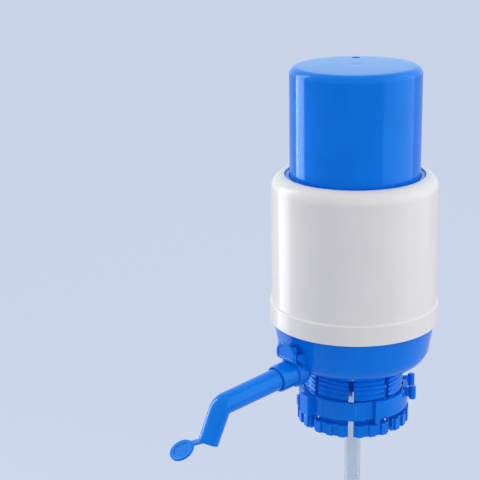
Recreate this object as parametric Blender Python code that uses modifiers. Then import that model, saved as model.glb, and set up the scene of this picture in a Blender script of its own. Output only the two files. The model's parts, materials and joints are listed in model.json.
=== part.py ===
"""Hand pump for a water jug with a 55 mm snap-on neck.

Pressing the cap squeezes the bellows, which blows air past the outlet valve into the jug. The
air lifts water up the dip tube, through the elbow and out of the spout. Pressing the vent
lever lets the air out of the jug again and stops the flow.

The origin is on the pump's axis, in the plane where the jug's rim meets the gasket. +Z is up
and the spout points along -Y. All lengths are in metres.
"""

import math

import bmesh
import bpy
from mathutils import Matrix, Vector

MM = 0.001

# Fits and cutting
FIT_GAP = 0.3 * MM
SEAL_GAP = 0.2 * MM
OVERRUN = 1.0 * MM
WELD_DISTANCE = 0.01 * MM
LARGE_RING_STEPS = 44
HIDDEN_RING_STEPS = 32
SMALL_RING_STEPS = 20
HOLE_STEPS = 12
PORT_STEPS = 8
ARC_STEPS = 4
SHARP_ANGLE = math.radians(32)

# Jug neck that the pump is made for
CROWN_RADIUS = 27.5 * MM

# Bottle gasket
GASKET_THICKNESS = 2.3 * MM
GASKET_INNER_RADIUS = 20.0 * MM

# Base housing: bowl
BOWL_STEP_BACK = 0.8 * MM
BOWL_DRAFT = 2.6 * MM
BOWL_HEIGHT = 27.7 * MM
BOWL_ROUND = 13.0 * MM
BOWL_ROUND_STEPS = 6
BOWL_WALL = 2.3 * MM
FLOOR_THICKNESS = 2.5 * MM
SPIGOT_HEIGHT = 11.3 * MM
SPIGOT_WALL = 2.0 * MM
LEDGE_DEPTH = 3.0 * MM
LEDGE_THICKNESS = 2.6 * MM
LEDGE_DROP = 2.7 * MM
AIR_HOLE_RADIUS = 2.2 * MM
AIR_HOLE_CIRCLE = 16.0 * MM
AIR_HOLE_COUNT = 4

# Base housing: slotted collar that grips the jug's crown
COLLAR_WALL = 3.2 * MM
COLLAR_DROP = 31.3 * MM
FLANGE_HEIGHT = 7.5 * MM
FLANGE_STEP = 2.8 * MM
FLANGE_TOOTH = 1.2 * MM
FINGER_COUNT = 8
TEETH_PER_FINGER = 3
TOOTH_SHARE = 0.5
SLOT_WIDTH = 3.3 * MM
SLOT_TOP_WEB = 1.0 * MM
HOOK_DEPTH = 1.4 * MM
HOOK_HEIGHT = 3.6 * MM

# Outer shell
SHELL_RADIUS = 50.7 * MM
SHELL_WALL = 2.2 * MM
SHELL_HEIGHT = 91.9 * MM
SHELL_ROUND = 8.0 * MM
SHELL_ROUND_STEPS = 6
BAND_STEP = 1.3 * MM
BAND_HEIGHT = 12.6 * MM
BAND_ROUND = 0.9 * MM
MOUTH_INSET = 8.4 * MM
MOUTH_LIP_WALL = 2.0 * MM
MOUTH_LIP_DEPTH = 10.5 * MM
MOUTH_EDGE_ROUND = 0.4 * MM
SHELL_LEDGE_DEPTH = 5.0 * MM
SHELL_LEDGE_THICKNESS = 1.8 * MM

# Press cap
CAP_TOP_ROUND = 3.3 * MM
CAP_WALL = 2.2 * MM
CAP_TOP_THICKNESS = 2.5 * MM
CAP_EXPOSED_HEIGHT = 65.4 * MM
CAP_FLANGE_STEP = 2.2 * MM
CAP_FLANGE_THICKNESS = 2.6 * MM
CAP_TRAVEL = 48.0 * MM
HEAD_SOCKET_WALL = 1.8 * MM
PUSH_RING_RADIUS = 22.0 * MM
PUSH_RING_WALL = 1.8 * MM

# Ring that keeps the cap in the shell's mouth
RETAINER_WALL = 2.4 * MM
RETAINER_RECESS = 0.9 * MM
RETAINER_TOP_ROUND = 0.7 * MM
RETAINER_ROUND_STEPS = 3
RETAINER_HOOK_STEP = 1.3 * MM
RETAINER_HOOK_HEIGHT = 0.8 * MM

# Bellows
BELLOWS_CLEARANCE = 1.9 * MM
BELLOWS_PLEAT_DEPTH = 6.6 * MM
BELLOWS_WALL = 1.2 * MM
BELLOWS_PLEATS = 8
BELLOWS_STEPS = 28
BELLOWS_FLANGE_THICKNESS = 1.8 * MM
BELLOWS_FLANGE_INSET = 0.5 * MM
BELLOWS_NECK_HEIGHT = 4.0 * MM
CREST_TO_ROOT_SHARE = 0.55
BELLOWS_CUFF_LIP = 1.5 * MM
BELLOWS_CUFF_GRIP = 3.2 * MM
CLAMPED_RING_THICKNESS = 3.0 * MM
CLAMPED_RING_WIDTH = 7.6 * MM

# Bellows head and valve plate
HEAD_THICKNESS = 2.5 * MM
HEAD_GAP_BELOW_CAP = 4.9 * MM
VALVE_PLATE_THICKNESS = 3.0 * MM
SPRING_LOCATOR_HEIGHT = 3.0 * MM
SPRING_LOCATOR_WALL = 1.2 * MM

# Check valves
VALVE_DISC_RADIUS = 9.5 * MM
VALVE_DISC_THICKNESS = 1.2 * MM
VALVE_STEM_RADIUS = 1.7 * MM
VALVE_BULB_RADIUS = 2.8 * MM
VALVE_BULB_HEIGHT = 2.6 * MM
VALVE_LIFT = 1.2 * MM
VALVE_PORT_RADIUS = 1.8 * MM
VALVE_PORT_CIRCLE = 6.2 * MM
VALVE_PORT_COUNT = 6

# Return spring
SPRING_RADIUS = 18.0 * MM
SPRING_WIRE_RADIUS = 1.0 * MM
SPRING_TURNS = 8
SPRING_POINTS_PER_TURN = 10
SPRING_END_EASE_SHARE = 0.7

# Chamber seal
CHAMBER_SEAL_RADIUS = 0.9 * MM
CHAMBER_SEAL_REBATE = 1.9 * MM

# Water elbow and its grommet
ELBOW_RISER_RADIUS = 7.0 * MM
ELBOW_RISER_DROP = 18.0 * MM
ELBOW_ARM_RADIUS = 4.9 * MM
ELBOW_ARM_REACH = 34.0 * MM
WATER_BORE_RADIUS = 3.3 * MM
TUBE_SOCKET_DEPTH = 12.0 * MM
GROMMET_WALL = 1.6 * MM
GROMMET_LIP = 2.0 * MM
GROMMET_LIP_THICKNESS = 0.8 * MM

# Spout socket on the bowl
SPOUT_SLOPE = math.radians(6.6)
SPOUT_LEVEL = 12.6 * MM
SOCKET_RADIUS = 8.2 * MM
SOCKET_STANDOFF = 13.2 * MM
SOCKET_DEPTH = 12.0 * MM
SOCKET_COLLAR_STEP = 1.3 * MM
SOCKET_COLLAR_STANDOFF = 1.7 * MM
SOCKET_ROOT_DEPTH = 8.0 * MM
SOCKET_COLLAR_ROOT_DEPTH = 5.0 * MM
CHANNEL_START_REACH = 18.0 * MM
CHANNEL_WALL = 1.5 * MM

# Spout
SPOUT_RADIUS = 6.65 * MM
SPOUT_ELBOW_RADIUS = 6.35 * MM
SPOUT_LEG_RADIUS = 5.9 * MM
SPOUT_TIP_RADIUS = 5.6 * MM
SPOUT_BORE_RADIUS = 4.0 * MM
SPOUT_RUN = 42.0 * MM
SPOUT_LEG_LENGTH = 23.4 * MM
SPOUT_LEG_LEAN = math.radians(25.5)
SPOUT_BEND_RADIUS = 6.6 * MM
SPOUT_BEND_STEPS = 8

# O-rings on the spout and on the elbow
O_RING_SIDES = 6
O_RING_GROOVE_DEPTH = 1.7 * MM
O_RING_GROOVE_WIDTH = 2.2 * MM
O_RING_FROM_END = 3.6 * MM
ELBOW_GROOVE_DEPTH = 1.0 * MM
ELBOW_GROOVE_WIDTH = 1.6 * MM

# Dust cap on its strap
DUST_DISC_RADIUS = 7.6 * MM
DUST_DISC_THICKNESS = 2.4 * MM
DUST_RIM_WIDTH = 1.6 * MM
DUST_RIM_HEIGHT = 0.7 * MM
DUST_PLUG_RADIUS = 3.4 * MM
DUST_PLUG_LENGTH = 2.8 * MM
DUST_PLUG_WALL = 1.0 * MM
STRAP_WIDTH = 4.4 * MM
STRAP_THICKNESS = 1.2 * MM
STRAP_WEDGE_LENGTH = 2.6 * MM
STRAP_PIVOT_OUT = 10.2 * MM
STRAP_PIVOT_UP = 0.6 * MM
STRAP_ROOT_UP = 1.2 * MM
DUST_OPEN_ANGLE = math.radians(125)

# Vent lever, the ears that carry it, its pin and its valve
LEVER_PLATE_STANDOFF = 3.6 * MM
LEVER_PLATE_BOTTOM = 15.2 * MM
LEVER_PLATE_RADIUS = 8.6 * MM
LEVER_PLATE_STRAIGHT = 3.1 * MM
LEVER_PLATE_THICKNESS = 1.6 * MM
LEVER_ARC_STEPS = 12
LEVER_BARREL_RADIUS = 1.6 * MM
LEVER_BARREL_HALF_WIDTH = 6.8 * MM
LEVER_CHEEK_THICKNESS = 1.5 * MM
LEVER_CHEEK_INSET = 0.2 * MM
LEVER_CHEEK_RISE = 6.4 * MM
LEVER_CHEEK_LEAN = 0.5 * MM
LEVER_NOSE_RADIUS = 1.5 * MM
PIN_RADIUS = 0.75 * MM
PIN_STANDOFF = 1.6 * MM
PIN_LEVEL = 18.6 * MM
EAR_THICKNESS = 1.6 * MM
EAR_RADIUS = 1.9 * MM
EAR_ARC_STEPS = 8
EAR_DEPTH = 5.2 * MM
EAR_FOOT_STEP = 0.1 * MM
VENT_RISE = 5.0 * MM
VENT_STEM_RADIUS = 1.3 * MM
VENT_HOLE_RADIUS = 2.1 * MM
VENT_HEAD_RADIUS = 3.7 * MM
VENT_HEAD_THICKNESS = 1.6 * MM
VENT_SEAT_RADIUS = 4.6 * MM
VENT_SEAT_DEPTH = 5.3 * MM
VENT_STEM_SETBACK = 0.3 * MM

# Clamp ring
RING_TOP = -13.8 * MM
RING_HEIGHT = 12.0 * MM
RING_HOLLOW_WALL = 0.9 * MM
RING_WINDOW_WALL = 1.8 * MM
RING_BAND_WALL = 2.9 * MM
RING_HOLLOW_FROM = math.radians(61)
RING_BAND_FROM = math.radians(71.3)
RING_STEP_ANGLE = math.radians(9)
RIB_COUNT = 3
RIB_FIRST = math.radians(6.4)
RIB_PITCH = math.radians(18.3)
RIB_SPAN = math.radians(7.7)
RIB_HEIGHT = 0.45 * MM
END_BLOCK_ANGLE = math.radians(-4.4)
END_BLOCK_WIDTH = 12.0 * MM
END_BLOCK_STEP = 3.6 * MM
TAB_ANGLE = math.radians(-18)
TAB_WIDTH = 3.0 * MM
TAB_HEIGHT = 7.0 * MM
LUG_COUNT = 7
LUG_FIRST = math.radians(122)
LUG_PITCH = math.radians(30)
LUG_STEP = 6.0 * MM
LUG_HEIGHT = 8.5 * MM
LUG_RISE = 2.3 * MM
LUG_WEB = 2.0 * MM
LUG_BEAD_RADIUS = 2.2 * MM
PAWL_WIDTH = 2.6 * MM
PAWL_DROP = 2.4 * MM
NOTCH_WIDTH = 3.0 * MM
NOTCH_HEIGHT = 1.6 * MM
NOTCH_ANGLE = math.radians(81)

# Dip tube, coupler and foot
TUBE_RADIUS = 5.0 * MM
TUBE_WALL = 1.5 * MM
TUBE_SECTION_LENGTH = 125.0 * MM
COUPLER_WALL = 1.6 * MM
COUPLER_LENGTH = 24.0 * MM
COUPLER_RIB_WIDTH = 1.6 * MM
FOOT_WALL = 2.2 * MM
FOOT_HEIGHT = 26.0 * MM
FOOT_FLARE = 2.4 * MM
FOOT_NOTCH_COUNT = 2
FOOT_NOTCH_WIDTH = 6.0 * MM
FOOT_NOTCH_HEIGHT = 7.0 * MM

# Heights that follow from the sizes above
FLOOR_UNDERSIDE = GASKET_THICKNESS + FIT_GAP
FLOOR_TOP = FLOOR_UNDERSIDE + FLOOR_THICKNESS
SHOULDER_TOP = FLOOR_UNDERSIDE + BOWL_HEIGHT
SHELL_BOTTOM = SHOULDER_TOP + FIT_GAP
SHELL_TOP = SHELL_BOTTOM + SHELL_HEIGHT
SPIGOT_TOP = SHOULDER_TOP + SPIGOT_HEIGHT
LEDGE_TOP = SHOULDER_TOP + LEDGE_DROP
VALVE_PLATE_BOTTOM = LEDGE_TOP + FIT_GAP
VALVE_PLATE_TOP = VALVE_PLATE_BOTTOM + VALVE_PLATE_THICKNESS
BELLOWS_BOTTOM = VALVE_PLATE_TOP + FIT_GAP
CLAMPED_RING_BOTTOM = BELLOWS_BOTTOM + BELLOWS_FLANGE_THICKNESS + FIT_GAP
CLAMPED_RING_TOP = CLAMPED_RING_BOTTOM + CLAMPED_RING_THICKNESS
SHELL_LEDGE_BOTTOM = CLAMPED_RING_TOP + FIT_GAP
CAP_TOP = SHELL_TOP + CAP_EXPOSED_HEIGHT
CAP_UNDERSIDE = CAP_TOP - CAP_TOP_THICKNESS
RETAINER_TOP = SHELL_TOP - RETAINER_RECESS
RETAINER_HOOK_TOP = SHELL_TOP - MOUTH_LIP_DEPTH - FIT_GAP
RETAINER_BOTTOM = RETAINER_HOOK_TOP - RETAINER_HOOK_HEIGHT
CAP_FLANGE_TOP = RETAINER_BOTTOM - FIT_GAP
CAP_BOTTOM = CAP_FLANGE_TOP - CAP_FLANGE_THICKNESS
HEAD_TOP = CAP_UNDERSIDE - HEAD_GAP_BELOW_CAP
HEAD_BOTTOM = HEAD_TOP - HEAD_THICKNESS
COLLAR_BOTTOM = FLOOR_UNDERSIDE - COLLAR_DROP
FLANGE_BOTTOM = COLLAR_BOTTOM - FLANGE_HEIGHT
RING_BOTTOM = RING_TOP - RING_HEIGHT

# Radii that follow from the sizes above
SHELL_BORE = SHELL_RADIUS - SHELL_WALL
BAND_RADIUS = SHELL_RADIUS + BAND_STEP
BOWL_RADIUS = SHELL_RADIUS - BOWL_STEP_BACK
MOUTH_RADIUS = SHELL_RADIUS - MOUTH_INSET
CAP_RADIUS = MOUTH_RADIUS - FIT_GAP - RETAINER_WALL - FIT_GAP
SPIGOT_RADIUS = SHELL_BORE - FIT_GAP
SPIGOT_BORE = SPIGOT_RADIUS - SPIGOT_WALL
LEDGE_BORE = SPIGOT_BORE - LEDGE_DEPTH
COLLAR_BORE = CROWN_RADIUS + FIT_GAP + SEAL_GAP
COLLAR_RADIUS = COLLAR_BORE + COLLAR_WALL
FLANGE_RADIUS = COLLAR_RADIUS + FLANGE_STEP
RING_BORE = COLLAR_RADIUS + FIT_GAP
RING_WINDOW_RADIUS = RING_BORE + RING_WINDOW_WALL
RING_BAND_RADIUS = RING_BORE + RING_BAND_WALL
END_BLOCK_RADIUS = RING_BAND_RADIUS + END_BLOCK_STEP
LUG_RADIUS = RING_BAND_RADIUS + LUG_STEP
CAP_BORE = CAP_RADIUS - CAP_WALL
RETAINER_BORE = CAP_RADIUS + FIT_GAP
RETAINER_RADIUS = MOUTH_RADIUS - FIT_GAP
PLATE_RADIUS = SPIGOT_BORE - FIT_GAP
BELLOWS_OUTER_RADIUS = CAP_BORE - BELLOWS_CLEARANCE
BELLOWS_INNER_RADIUS = BELLOWS_OUTER_RADIUS - BELLOWS_PLEAT_DEPTH
BELLOWS_CUFF_BORE = BELLOWS_INNER_RADIUS - BELLOWS_WALL
HEAD_RADIUS = BELLOWS_CUFF_BORE - FIT_GAP
HEAD_SOCKET_BORE = BELLOWS_INNER_RADIUS + FIT_GAP
STEM_HOLE_RADIUS = VALVE_STEM_RADIUS + FIT_GAP
GROMMET_BORE = ELBOW_RISER_RADIUS + SEAL_GAP
GROMMET_RADIUS = GROMMET_BORE + GROMMET_WALL
FLOOR_HOLE_RADIUS = GROMMET_RADIUS + SEAL_GAP
SOCKET_BORE = SPOUT_RADIUS + FIT_GAP
CHANNEL_BORE = ELBOW_ARM_RADIUS + FIT_GAP
TUBE_BORE_RADIUS = TUBE_RADIUS - TUBE_WALL
TUBE_SOCKET_RADIUS = TUBE_RADIUS + FIT_GAP
SPRING_INSIDE = SPRING_RADIUS * math.cos(math.pi / SPRING_POINTS_PER_TURN) - SPRING_WIRE_RADIUS
SPRING_LOCATOR_RADIUS = SPRING_INSIDE - FIT_GAP

# Reaches and levels in front of the bowl
SOCKET_REACH = BOWL_RADIUS + SOCKET_STANDOFF
SOCKET_COLLAR_REACH = BOWL_RADIUS + SOCKET_COLLAR_STANDOFF
SPOUT_CORNER_REACH = SOCKET_REACH + SPOUT_RUN
PIN_REACH = BOWL_RADIUS + PIN_STANDOFF
LEVER_PLATE_REACH = PIN_REACH + LEVER_PLATE_STANDOFF
LEVER_CHEEK_TOP = PIN_LEVEL + LEVER_CHEEK_RISE
VENT_LEVEL = PIN_LEVEL + VENT_RISE
VENT_SEAT_REACH = BOWL_RADIUS - VENT_SEAT_DEPTH
VENT_STEM_REACH = PIN_REACH - VENT_STEM_SETBACK


def spout_point(reach, rise=0.0, side=0.0):
    """A point on the spout's axis, at this distance from the pump's axis, moved square to it."""
    along = Vector((0, -math.cos(SPOUT_SLOPE), -math.sin(SPOUT_SLOPE)))
    up = Vector((0, -math.sin(SPOUT_SLOPE), math.cos(SPOUT_SLOPE)))
    return Vector((side, 0, SPOUT_LEVEL)) + along * reach + up * rise


def leg_direction():
    return Vector((0, -math.sin(SPOUT_LEG_LEAN), -math.cos(SPOUT_LEG_LEAN)))


def leg_outward():
    """Square to the leg, away from the pump."""
    return Vector((0, -math.cos(SPOUT_LEG_LEAN), math.sin(SPOUT_LEG_LEAN)))


def spout_corner():
    return spout_point(SPOUT_CORNER_REACH)


def spout_tip():
    return spout_corner() + leg_direction() * SPOUT_LEG_LENGTH


def strap_pivot():
    return spout_tip() + leg_outward() * STRAP_PIVOT_OUT - leg_direction() * STRAP_PIVOT_UP


def pin_centre():
    return Vector((0, -PIN_REACH, PIN_LEVEL))


def bowl_radius_at(height):
    """The bowl's outer radius at a height above its floor."""
    foot = BOWL_RADIUS - BOWL_DRAFT
    round_top = FLOOR_UNDERSIDE + BOWL_ROUND
    if height > round_top:
        return foot + BOWL_DRAFT * (height - round_top) / (SHOULDER_TOP - round_top)
    drop = round_top - height
    return foot - BOWL_ROUND + math.sqrt(BOWL_ROUND * BOWL_ROUND - drop * drop)


# Scene helpers


def clear_scene():
    for obj in list(bpy.data.objects):
        bpy.data.objects.remove(obj, do_unlink=True)


def new_collection(name):
    collection = bpy.data.collections.new(name)
    bpy.context.scene.collection.children.link(collection)
    return collection


def material(name, colour, roughness, metallic=0.0, transmission=0.0):
    made = bpy.data.materials.new(name)
    made.use_nodes = True
    shader = made.node_tree.nodes["Principled BSDF"]
    shader.inputs["Base Color"].default_value = (*colour, 1.0)
    shader.inputs["Roughness"].default_value = roughness
    shader.inputs["Metallic"].default_value = metallic
    shader.inputs["Transmission Weight"].default_value = transmission
    made.diffuse_color = (*colour, 1.0)
    return made


def object_from_bmesh(name, mesh_data):
    mesh = bpy.data.meshes.new(name)
    mesh_data.to_mesh(mesh)
    mesh_data.free()
    obj = bpy.data.objects.new(name, mesh)
    bpy.context.scene.collection.objects.link(obj)
    return obj


def settle(obj):
    """Turns an object with modifiers, or a curve, into a plain welded mesh object."""
    bpy.context.view_layer.update()
    graph = bpy.context.evaluated_depsgraph_get()
    mesh = bpy.data.meshes.new_from_object(obj.evaluated_get(graph))
    welded = bmesh.new()
    welded.from_mesh(mesh)
    bmesh.ops.remove_doubles(welded, verts=welded.verts, dist=WELD_DISTANCE)
    bmesh.ops.recalc_face_normals(welded, faces=welded.faces)
    name, place = obj.name, obj.matrix_world.copy()
    bpy.data.objects.remove(obj, do_unlink=True)
    made = object_from_bmesh(name, welded)
    made.name = name
    made.matrix_world = place
    bpy.data.meshes.remove(mesh)
    return made


def cut(target, cutter, operation="DIFFERENCE"):
    """Booleans the cutter with the target, then removes the cutter."""
    modifier = target.modifiers.new("cut", "BOOLEAN")
    modifier.operation = operation
    modifier.object = cutter
    made = settle(target)
    bpy.data.objects.remove(cutter, do_unlink=True)
    return made


def join(target, addition):
    return cut(target, addition, "UNION")


# Shapes


def arc(centre_r, centre_z, radius, start, end, steps=ARC_STEPS):
    """Points of an arc in the profile plane, from one angle to another, in degrees."""
    points = []
    for i in range(steps + 1):
        angle = math.radians(start + (end - start) * i / steps)
        across, up = radius * math.cos(angle), radius * math.sin(angle)
        points.append((centre_r + across, centre_z + up))
    return points


def turned(name, profile, steps=LARGE_RING_STEPS, closed=True):
    """A turned solid. The profile is (radius, height) and runs down its outer side."""
    shape = bmesh.new()
    verts = [shape.verts.new((radius, 0, height)) for radius, height in profile]
    for first, second in zip(verts, verts[1:]):
        shape.edges.new((first, second))
    if closed:
        shape.edges.new((verts[-1], verts[0]))
    obj = object_from_bmesh(name, shape)
    screw = obj.modifiers.new("turn", "SCREW")
    screw.steps = steps
    screw.render_steps = steps
    screw.use_merge_vertices = True
    screw.merge_threshold = WELD_DISTANCE
    return settle(obj)


def ring(name, inner, outer, bottom, top, steps=LARGE_RING_STEPS):
    return turned(name, [(outer, top), (outer, bottom), (inner, bottom), (inner, top)], steps)


def rod(name, start, end, radius, steps=SMALL_RING_STEPS, end_radius=None):
    """A cylinder or cone between two points."""
    run = Vector(end) - Vector(start)
    shape = bmesh.new()
    bmesh.ops.create_cone(
        shape,
        cap_ends=True,
        segments=steps,
        radius1=radius,
        radius2=radius if end_radius is None else end_radius,
        depth=run.length,
    )
    obj = object_from_bmesh(name, shape)
    turn = run.to_track_quat("Z", "Y").to_matrix().to_4x4()
    obj.data.transform(Matrix.Translation((Vector(start) + Vector(end)) / 2) @ turn)
    return obj


def block(name, low, high):
    """A box between two corners."""
    low, high = Vector(low), Vector(high)
    shape = bmesh.new()
    bmesh.ops.create_cube(shape, size=1)
    obj = object_from_bmesh(name, shape)
    size = high - low
    obj.data.transform(Matrix.Translation((low + high) / 2) @ Matrix.Diagonal((*size, 1)))
    return obj


def extruded(name, loops, thickness, place):
    """A flat outline, with any holes as further loops, given a thickness and a place."""
    curve = bpy.data.curves.new(name, "CURVE")
    curve.dimensions = "2D"
    curve.fill_mode = "BOTH"
    curve.extrude = thickness / 2
    for loop in loops:
        spline = curve.splines.new("POLY")
        spline.points.add(len(loop) - 1)
        spline.use_cyclic_u = True
        for point, (x, y) in zip(spline.points, loop):
            point.co = (x, y, 0, 1)
    obj = bpy.data.objects.new(name, curve)
    bpy.context.scene.collection.objects.link(obj)
    obj.matrix_world = place
    made = settle(obj)
    made.data.transform(made.matrix_world)
    made.matrix_world = Matrix.Identity(4)
    return made


def pipe(name, points, radii, resolution=4):
    """A round bar along points, with its own radius at each."""
    curve = bpy.data.curves.new(name, "CURVE")
    curve.dimensions = "3D"
    curve.bevel_depth = max(radii)
    curve.bevel_resolution = resolution
    curve.use_fill_caps = True
    spline = curve.splines.new("POLY")
    spline.points.add(len(points) - 1)
    for point, place, radius in zip(spline.points, points, radii):
        point.co = (*place, 1)
        point.radius = radius / max(radii)
    obj = bpy.data.objects.new(name, curve)
    bpy.context.scene.collection.objects.link(obj)
    return settle(obj)


def circle(radius, steps):
    turns = [math.tau * i / steps for i in range(steps)]
    return [(radius * math.cos(a), radius * math.sin(a)) for a in turns]


def around(angle, radius, height=0.0):
    """A point at an angle round the pump's axis, counted from the spout towards +X."""
    return Vector((radius * math.sin(angle), -radius * math.cos(angle), height))


def at_angle(angle):
    """Turns a shape made on the spout's side to an angle round the pump's axis."""
    return Matrix.Rotation(angle, 4, "Z")


def drill_ring(target, count, circle_radius, hole_radius, low, high, steps=HOLE_STEPS):
    """Cuts a ring of equal upright holes."""
    for i in range(count):
        place = around(math.tau * (i + 1 / 2) / count, circle_radius)
        start = place + Vector((0, 0, low - OVERRUN))
        end = place + Vector((0, 0, high + OVERRUN))
        target = cut(target, rod("hole", start, end, hole_radius, steps))
    return target


def o_ring(name, centre, axis, ring_radius, section_radius, steps=SMALL_RING_STEPS):
    """A torus round an axis, whose section is a polygon."""
    last = 360 / O_RING_SIDES
    profile = arc(ring_radius, 0, section_radius, 360, last, O_RING_SIDES - 1)
    obj = turned(name, profile, steps)
    turn = Vector(axis).to_track_quat("Z", "Y").to_matrix().to_4x4()
    obj.data.transform(Matrix.Translation(centre) @ turn)
    return obj


# Pieces


def make_press_cap():
    outer = [(0, CAP_TOP)]
    outer += arc(CAP_RADIUS - CAP_TOP_ROUND, CAP_TOP - CAP_TOP_ROUND, CAP_TOP_ROUND, 90, 0)
    flange_radius = CAP_RADIUS + CAP_FLANGE_STEP
    outer += [
        (CAP_RADIUS, CAP_FLANGE_TOP),
        (flange_radius, CAP_FLANGE_TOP),
        (flange_radius, CAP_BOTTOM),
        (CAP_BORE, CAP_BOTTOM),
    ]
    inner_round = CAP_TOP_ROUND - CAP_WALL
    inner = arc(CAP_BORE - inner_round, CAP_UNDERSIDE - inner_round, inner_round, 0, 90, 3)
    socket_radius = HEAD_SOCKET_BORE + HEAD_SOCKET_WALL
    inner += [
        (socket_radius, CAP_UNDERSIDE),
        (socket_radius, HEAD_BOTTOM),
        (HEAD_SOCKET_BORE, HEAD_BOTTOM),
        (HEAD_SOCKET_BORE, CAP_UNDERSIDE),
        (PUSH_RING_RADIUS, CAP_UNDERSIDE),
        (PUSH_RING_RADIUS, HEAD_TOP + FIT_GAP),
        (PUSH_RING_RADIUS - PUSH_RING_WALL, HEAD_TOP + FIT_GAP),
        (PUSH_RING_RADIUS - PUSH_RING_WALL, CAP_UNDERSIDE),
        (0, CAP_UNDERSIDE),
    ]
    return turned("press_cap", outer + inner, closed=False)


def make_cap_retainer():
    hook_radius = RETAINER_RADIUS + RETAINER_HOOK_STEP
    round_r = RETAINER_TOP_ROUND
    profile = arc(RETAINER_RADIUS - round_r, RETAINER_TOP - round_r, round_r, 90, 0, RETAINER_ROUND_STEPS)
    profile += [
        (RETAINER_RADIUS, RETAINER_HOOK_TOP),
        (hook_radius, RETAINER_HOOK_TOP),
        (hook_radius, RETAINER_BOTTOM),
        (RETAINER_BORE, RETAINER_BOTTOM),
        (RETAINER_BORE, RETAINER_TOP),
    ]
    return turned("cap_retainer", profile)


def make_outer_shell():
    lip_radius = MOUTH_RADIUS + MOUTH_LIP_WALL
    round_centre_r = SHELL_RADIUS - SHELL_ROUND
    round_centre_z = SHELL_TOP - SHELL_ROUND
    inner_round = SHELL_ROUND - SHELL_WALL
    lip_angle = math.degrees(math.acos((lip_radius - round_centre_r) / inner_round))
    band_top = SHELL_BOTTOM + BAND_HEIGHT
    edge = MOUTH_EDGE_ROUND
    ledge_radius = SHELL_BORE - SHELL_LEDGE_DEPTH
    ledge_top = SHELL_LEDGE_BOTTOM + SHELL_LEDGE_THICKNESS
    profile = arc(round_centre_r, round_centre_z, SHELL_ROUND, 90, 0, SHELL_ROUND_STEPS)
    profile += [(SHELL_RADIUS, band_top)]
    profile += arc(BAND_RADIUS - BAND_ROUND, band_top - BAND_ROUND, BAND_ROUND, 90, 0, 2)
    profile += [
        (BAND_RADIUS, SHELL_BOTTOM),
        (SHELL_BORE, SHELL_BOTTOM),
        (SHELL_BORE, SHELL_LEDGE_BOTTOM),
        (ledge_radius, SHELL_LEDGE_BOTTOM),
        (ledge_radius, ledge_top),
        (SHELL_BORE, ledge_top),
    ]
    profile += arc(round_centre_r, round_centre_z, inner_round, 0, lip_angle, 3)
    profile += [
        (lip_radius, SHELL_TOP - MOUTH_LIP_DEPTH),
        (MOUTH_RADIUS, SHELL_TOP - MOUTH_LIP_DEPTH),
        (MOUTH_RADIUS, SHELL_TOP - edge),
    ]
    return turned("outer_shell", profile)


def bowl_profile():
    shoulder = BOWL_RADIUS
    foot = BOWL_RADIUS - BOWL_DRAFT
    inner_top = shoulder - BOWL_WALL
    inner_foot = foot - BOWL_WALL
    inner_round = BOWL_ROUND - BOWL_WALL
    ledge_bottom = LEDGE_TOP - LEDGE_THICKNESS
    slope_run = inner_top - LEDGE_BORE
    profile = [
        (SPIGOT_RADIUS, SPIGOT_TOP),
        (SPIGOT_RADIUS, SHOULDER_TOP),
        (shoulder, SHOULDER_TOP),
    ]
    round_at = (foot - BOWL_ROUND, FLOOR_UNDERSIDE + BOWL_ROUND)
    profile += arc(*round_at, BOWL_ROUND, 0, -90, BOWL_ROUND_STEPS)
    profile += [
        (COLLAR_RADIUS, FLOOR_UNDERSIDE),
        (COLLAR_RADIUS, COLLAR_BOTTOM - OVERRUN),
        (COLLAR_BORE, COLLAR_BOTTOM - OVERRUN),
        (COLLAR_BORE, FLOOR_UNDERSIDE),
        (FLOOR_HOLE_RADIUS, FLOOR_UNDERSIDE),
        (FLOOR_HOLE_RADIUS, FLOOR_TOP),
    ]
    profile += arc(inner_foot - inner_round, FLOOR_TOP + inner_round, inner_round, -90, 0)
    profile += [
        (inner_top, ledge_bottom - slope_run),
        (LEDGE_BORE, ledge_bottom),
        (LEDGE_BORE, LEDGE_TOP),
        (SPIGOT_BORE, LEDGE_TOP),
        (SPIGOT_BORE, SPIGOT_TOP),
    ]
    return profile


def flange_outline():
    """The castellated flange seen from above. A gap is centred on the spout's side."""
    count = FINGER_COUNT * TEETH_PER_FINGER
    pitch = math.tau / count
    half_gap = pitch * (1 - TOOTH_SHARE) / 2
    outline = []
    for i in range(count):
        low, high = i * pitch + half_gap, (i + 1) * pitch - half_gap
        for angle, radius in (
            (low, FLANGE_RADIUS),
            (low, FLANGE_RADIUS + FLANGE_TOOTH),
            (high, FLANGE_RADIUS + FLANGE_TOOTH),
            (high, FLANGE_RADIUS),
        ):
            point = around(angle, radius)
            outline.append((point.x, point.y))
    return outline


def make_flange():
    """The collar's toothed flange, with the hook inside it that holds the jug's crown."""
    place = Matrix.Translation((0, 0, FLANGE_BOTTOM + FLANGE_HEIGHT / 2))
    body = extruded("flange", [flange_outline()], FLANGE_HEIGHT, place)
    hook_bore = COLLAR_BORE - HOOK_DEPTH
    hook_top = FLANGE_BOTTOM + HOOK_HEIGHT
    hollow = [
        (0, COLLAR_BOTTOM + OVERRUN),
        (COLLAR_BORE, COLLAR_BOTTOM + OVERRUN),
        (COLLAR_BORE, hook_top),
        (hook_bore, hook_top - HOOK_DEPTH),
        (hook_bore, FLANGE_BOTTOM + HOOK_DEPTH),
        (COLLAR_BORE, FLANGE_BOTTOM),
        (COLLAR_BORE, FLANGE_BOTTOM - OVERRUN),
        (0, FLANGE_BOTTOM - OVERRUN),
    ]
    return cut(body, turned("flange_hollow", hollow, closed=False))


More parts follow.
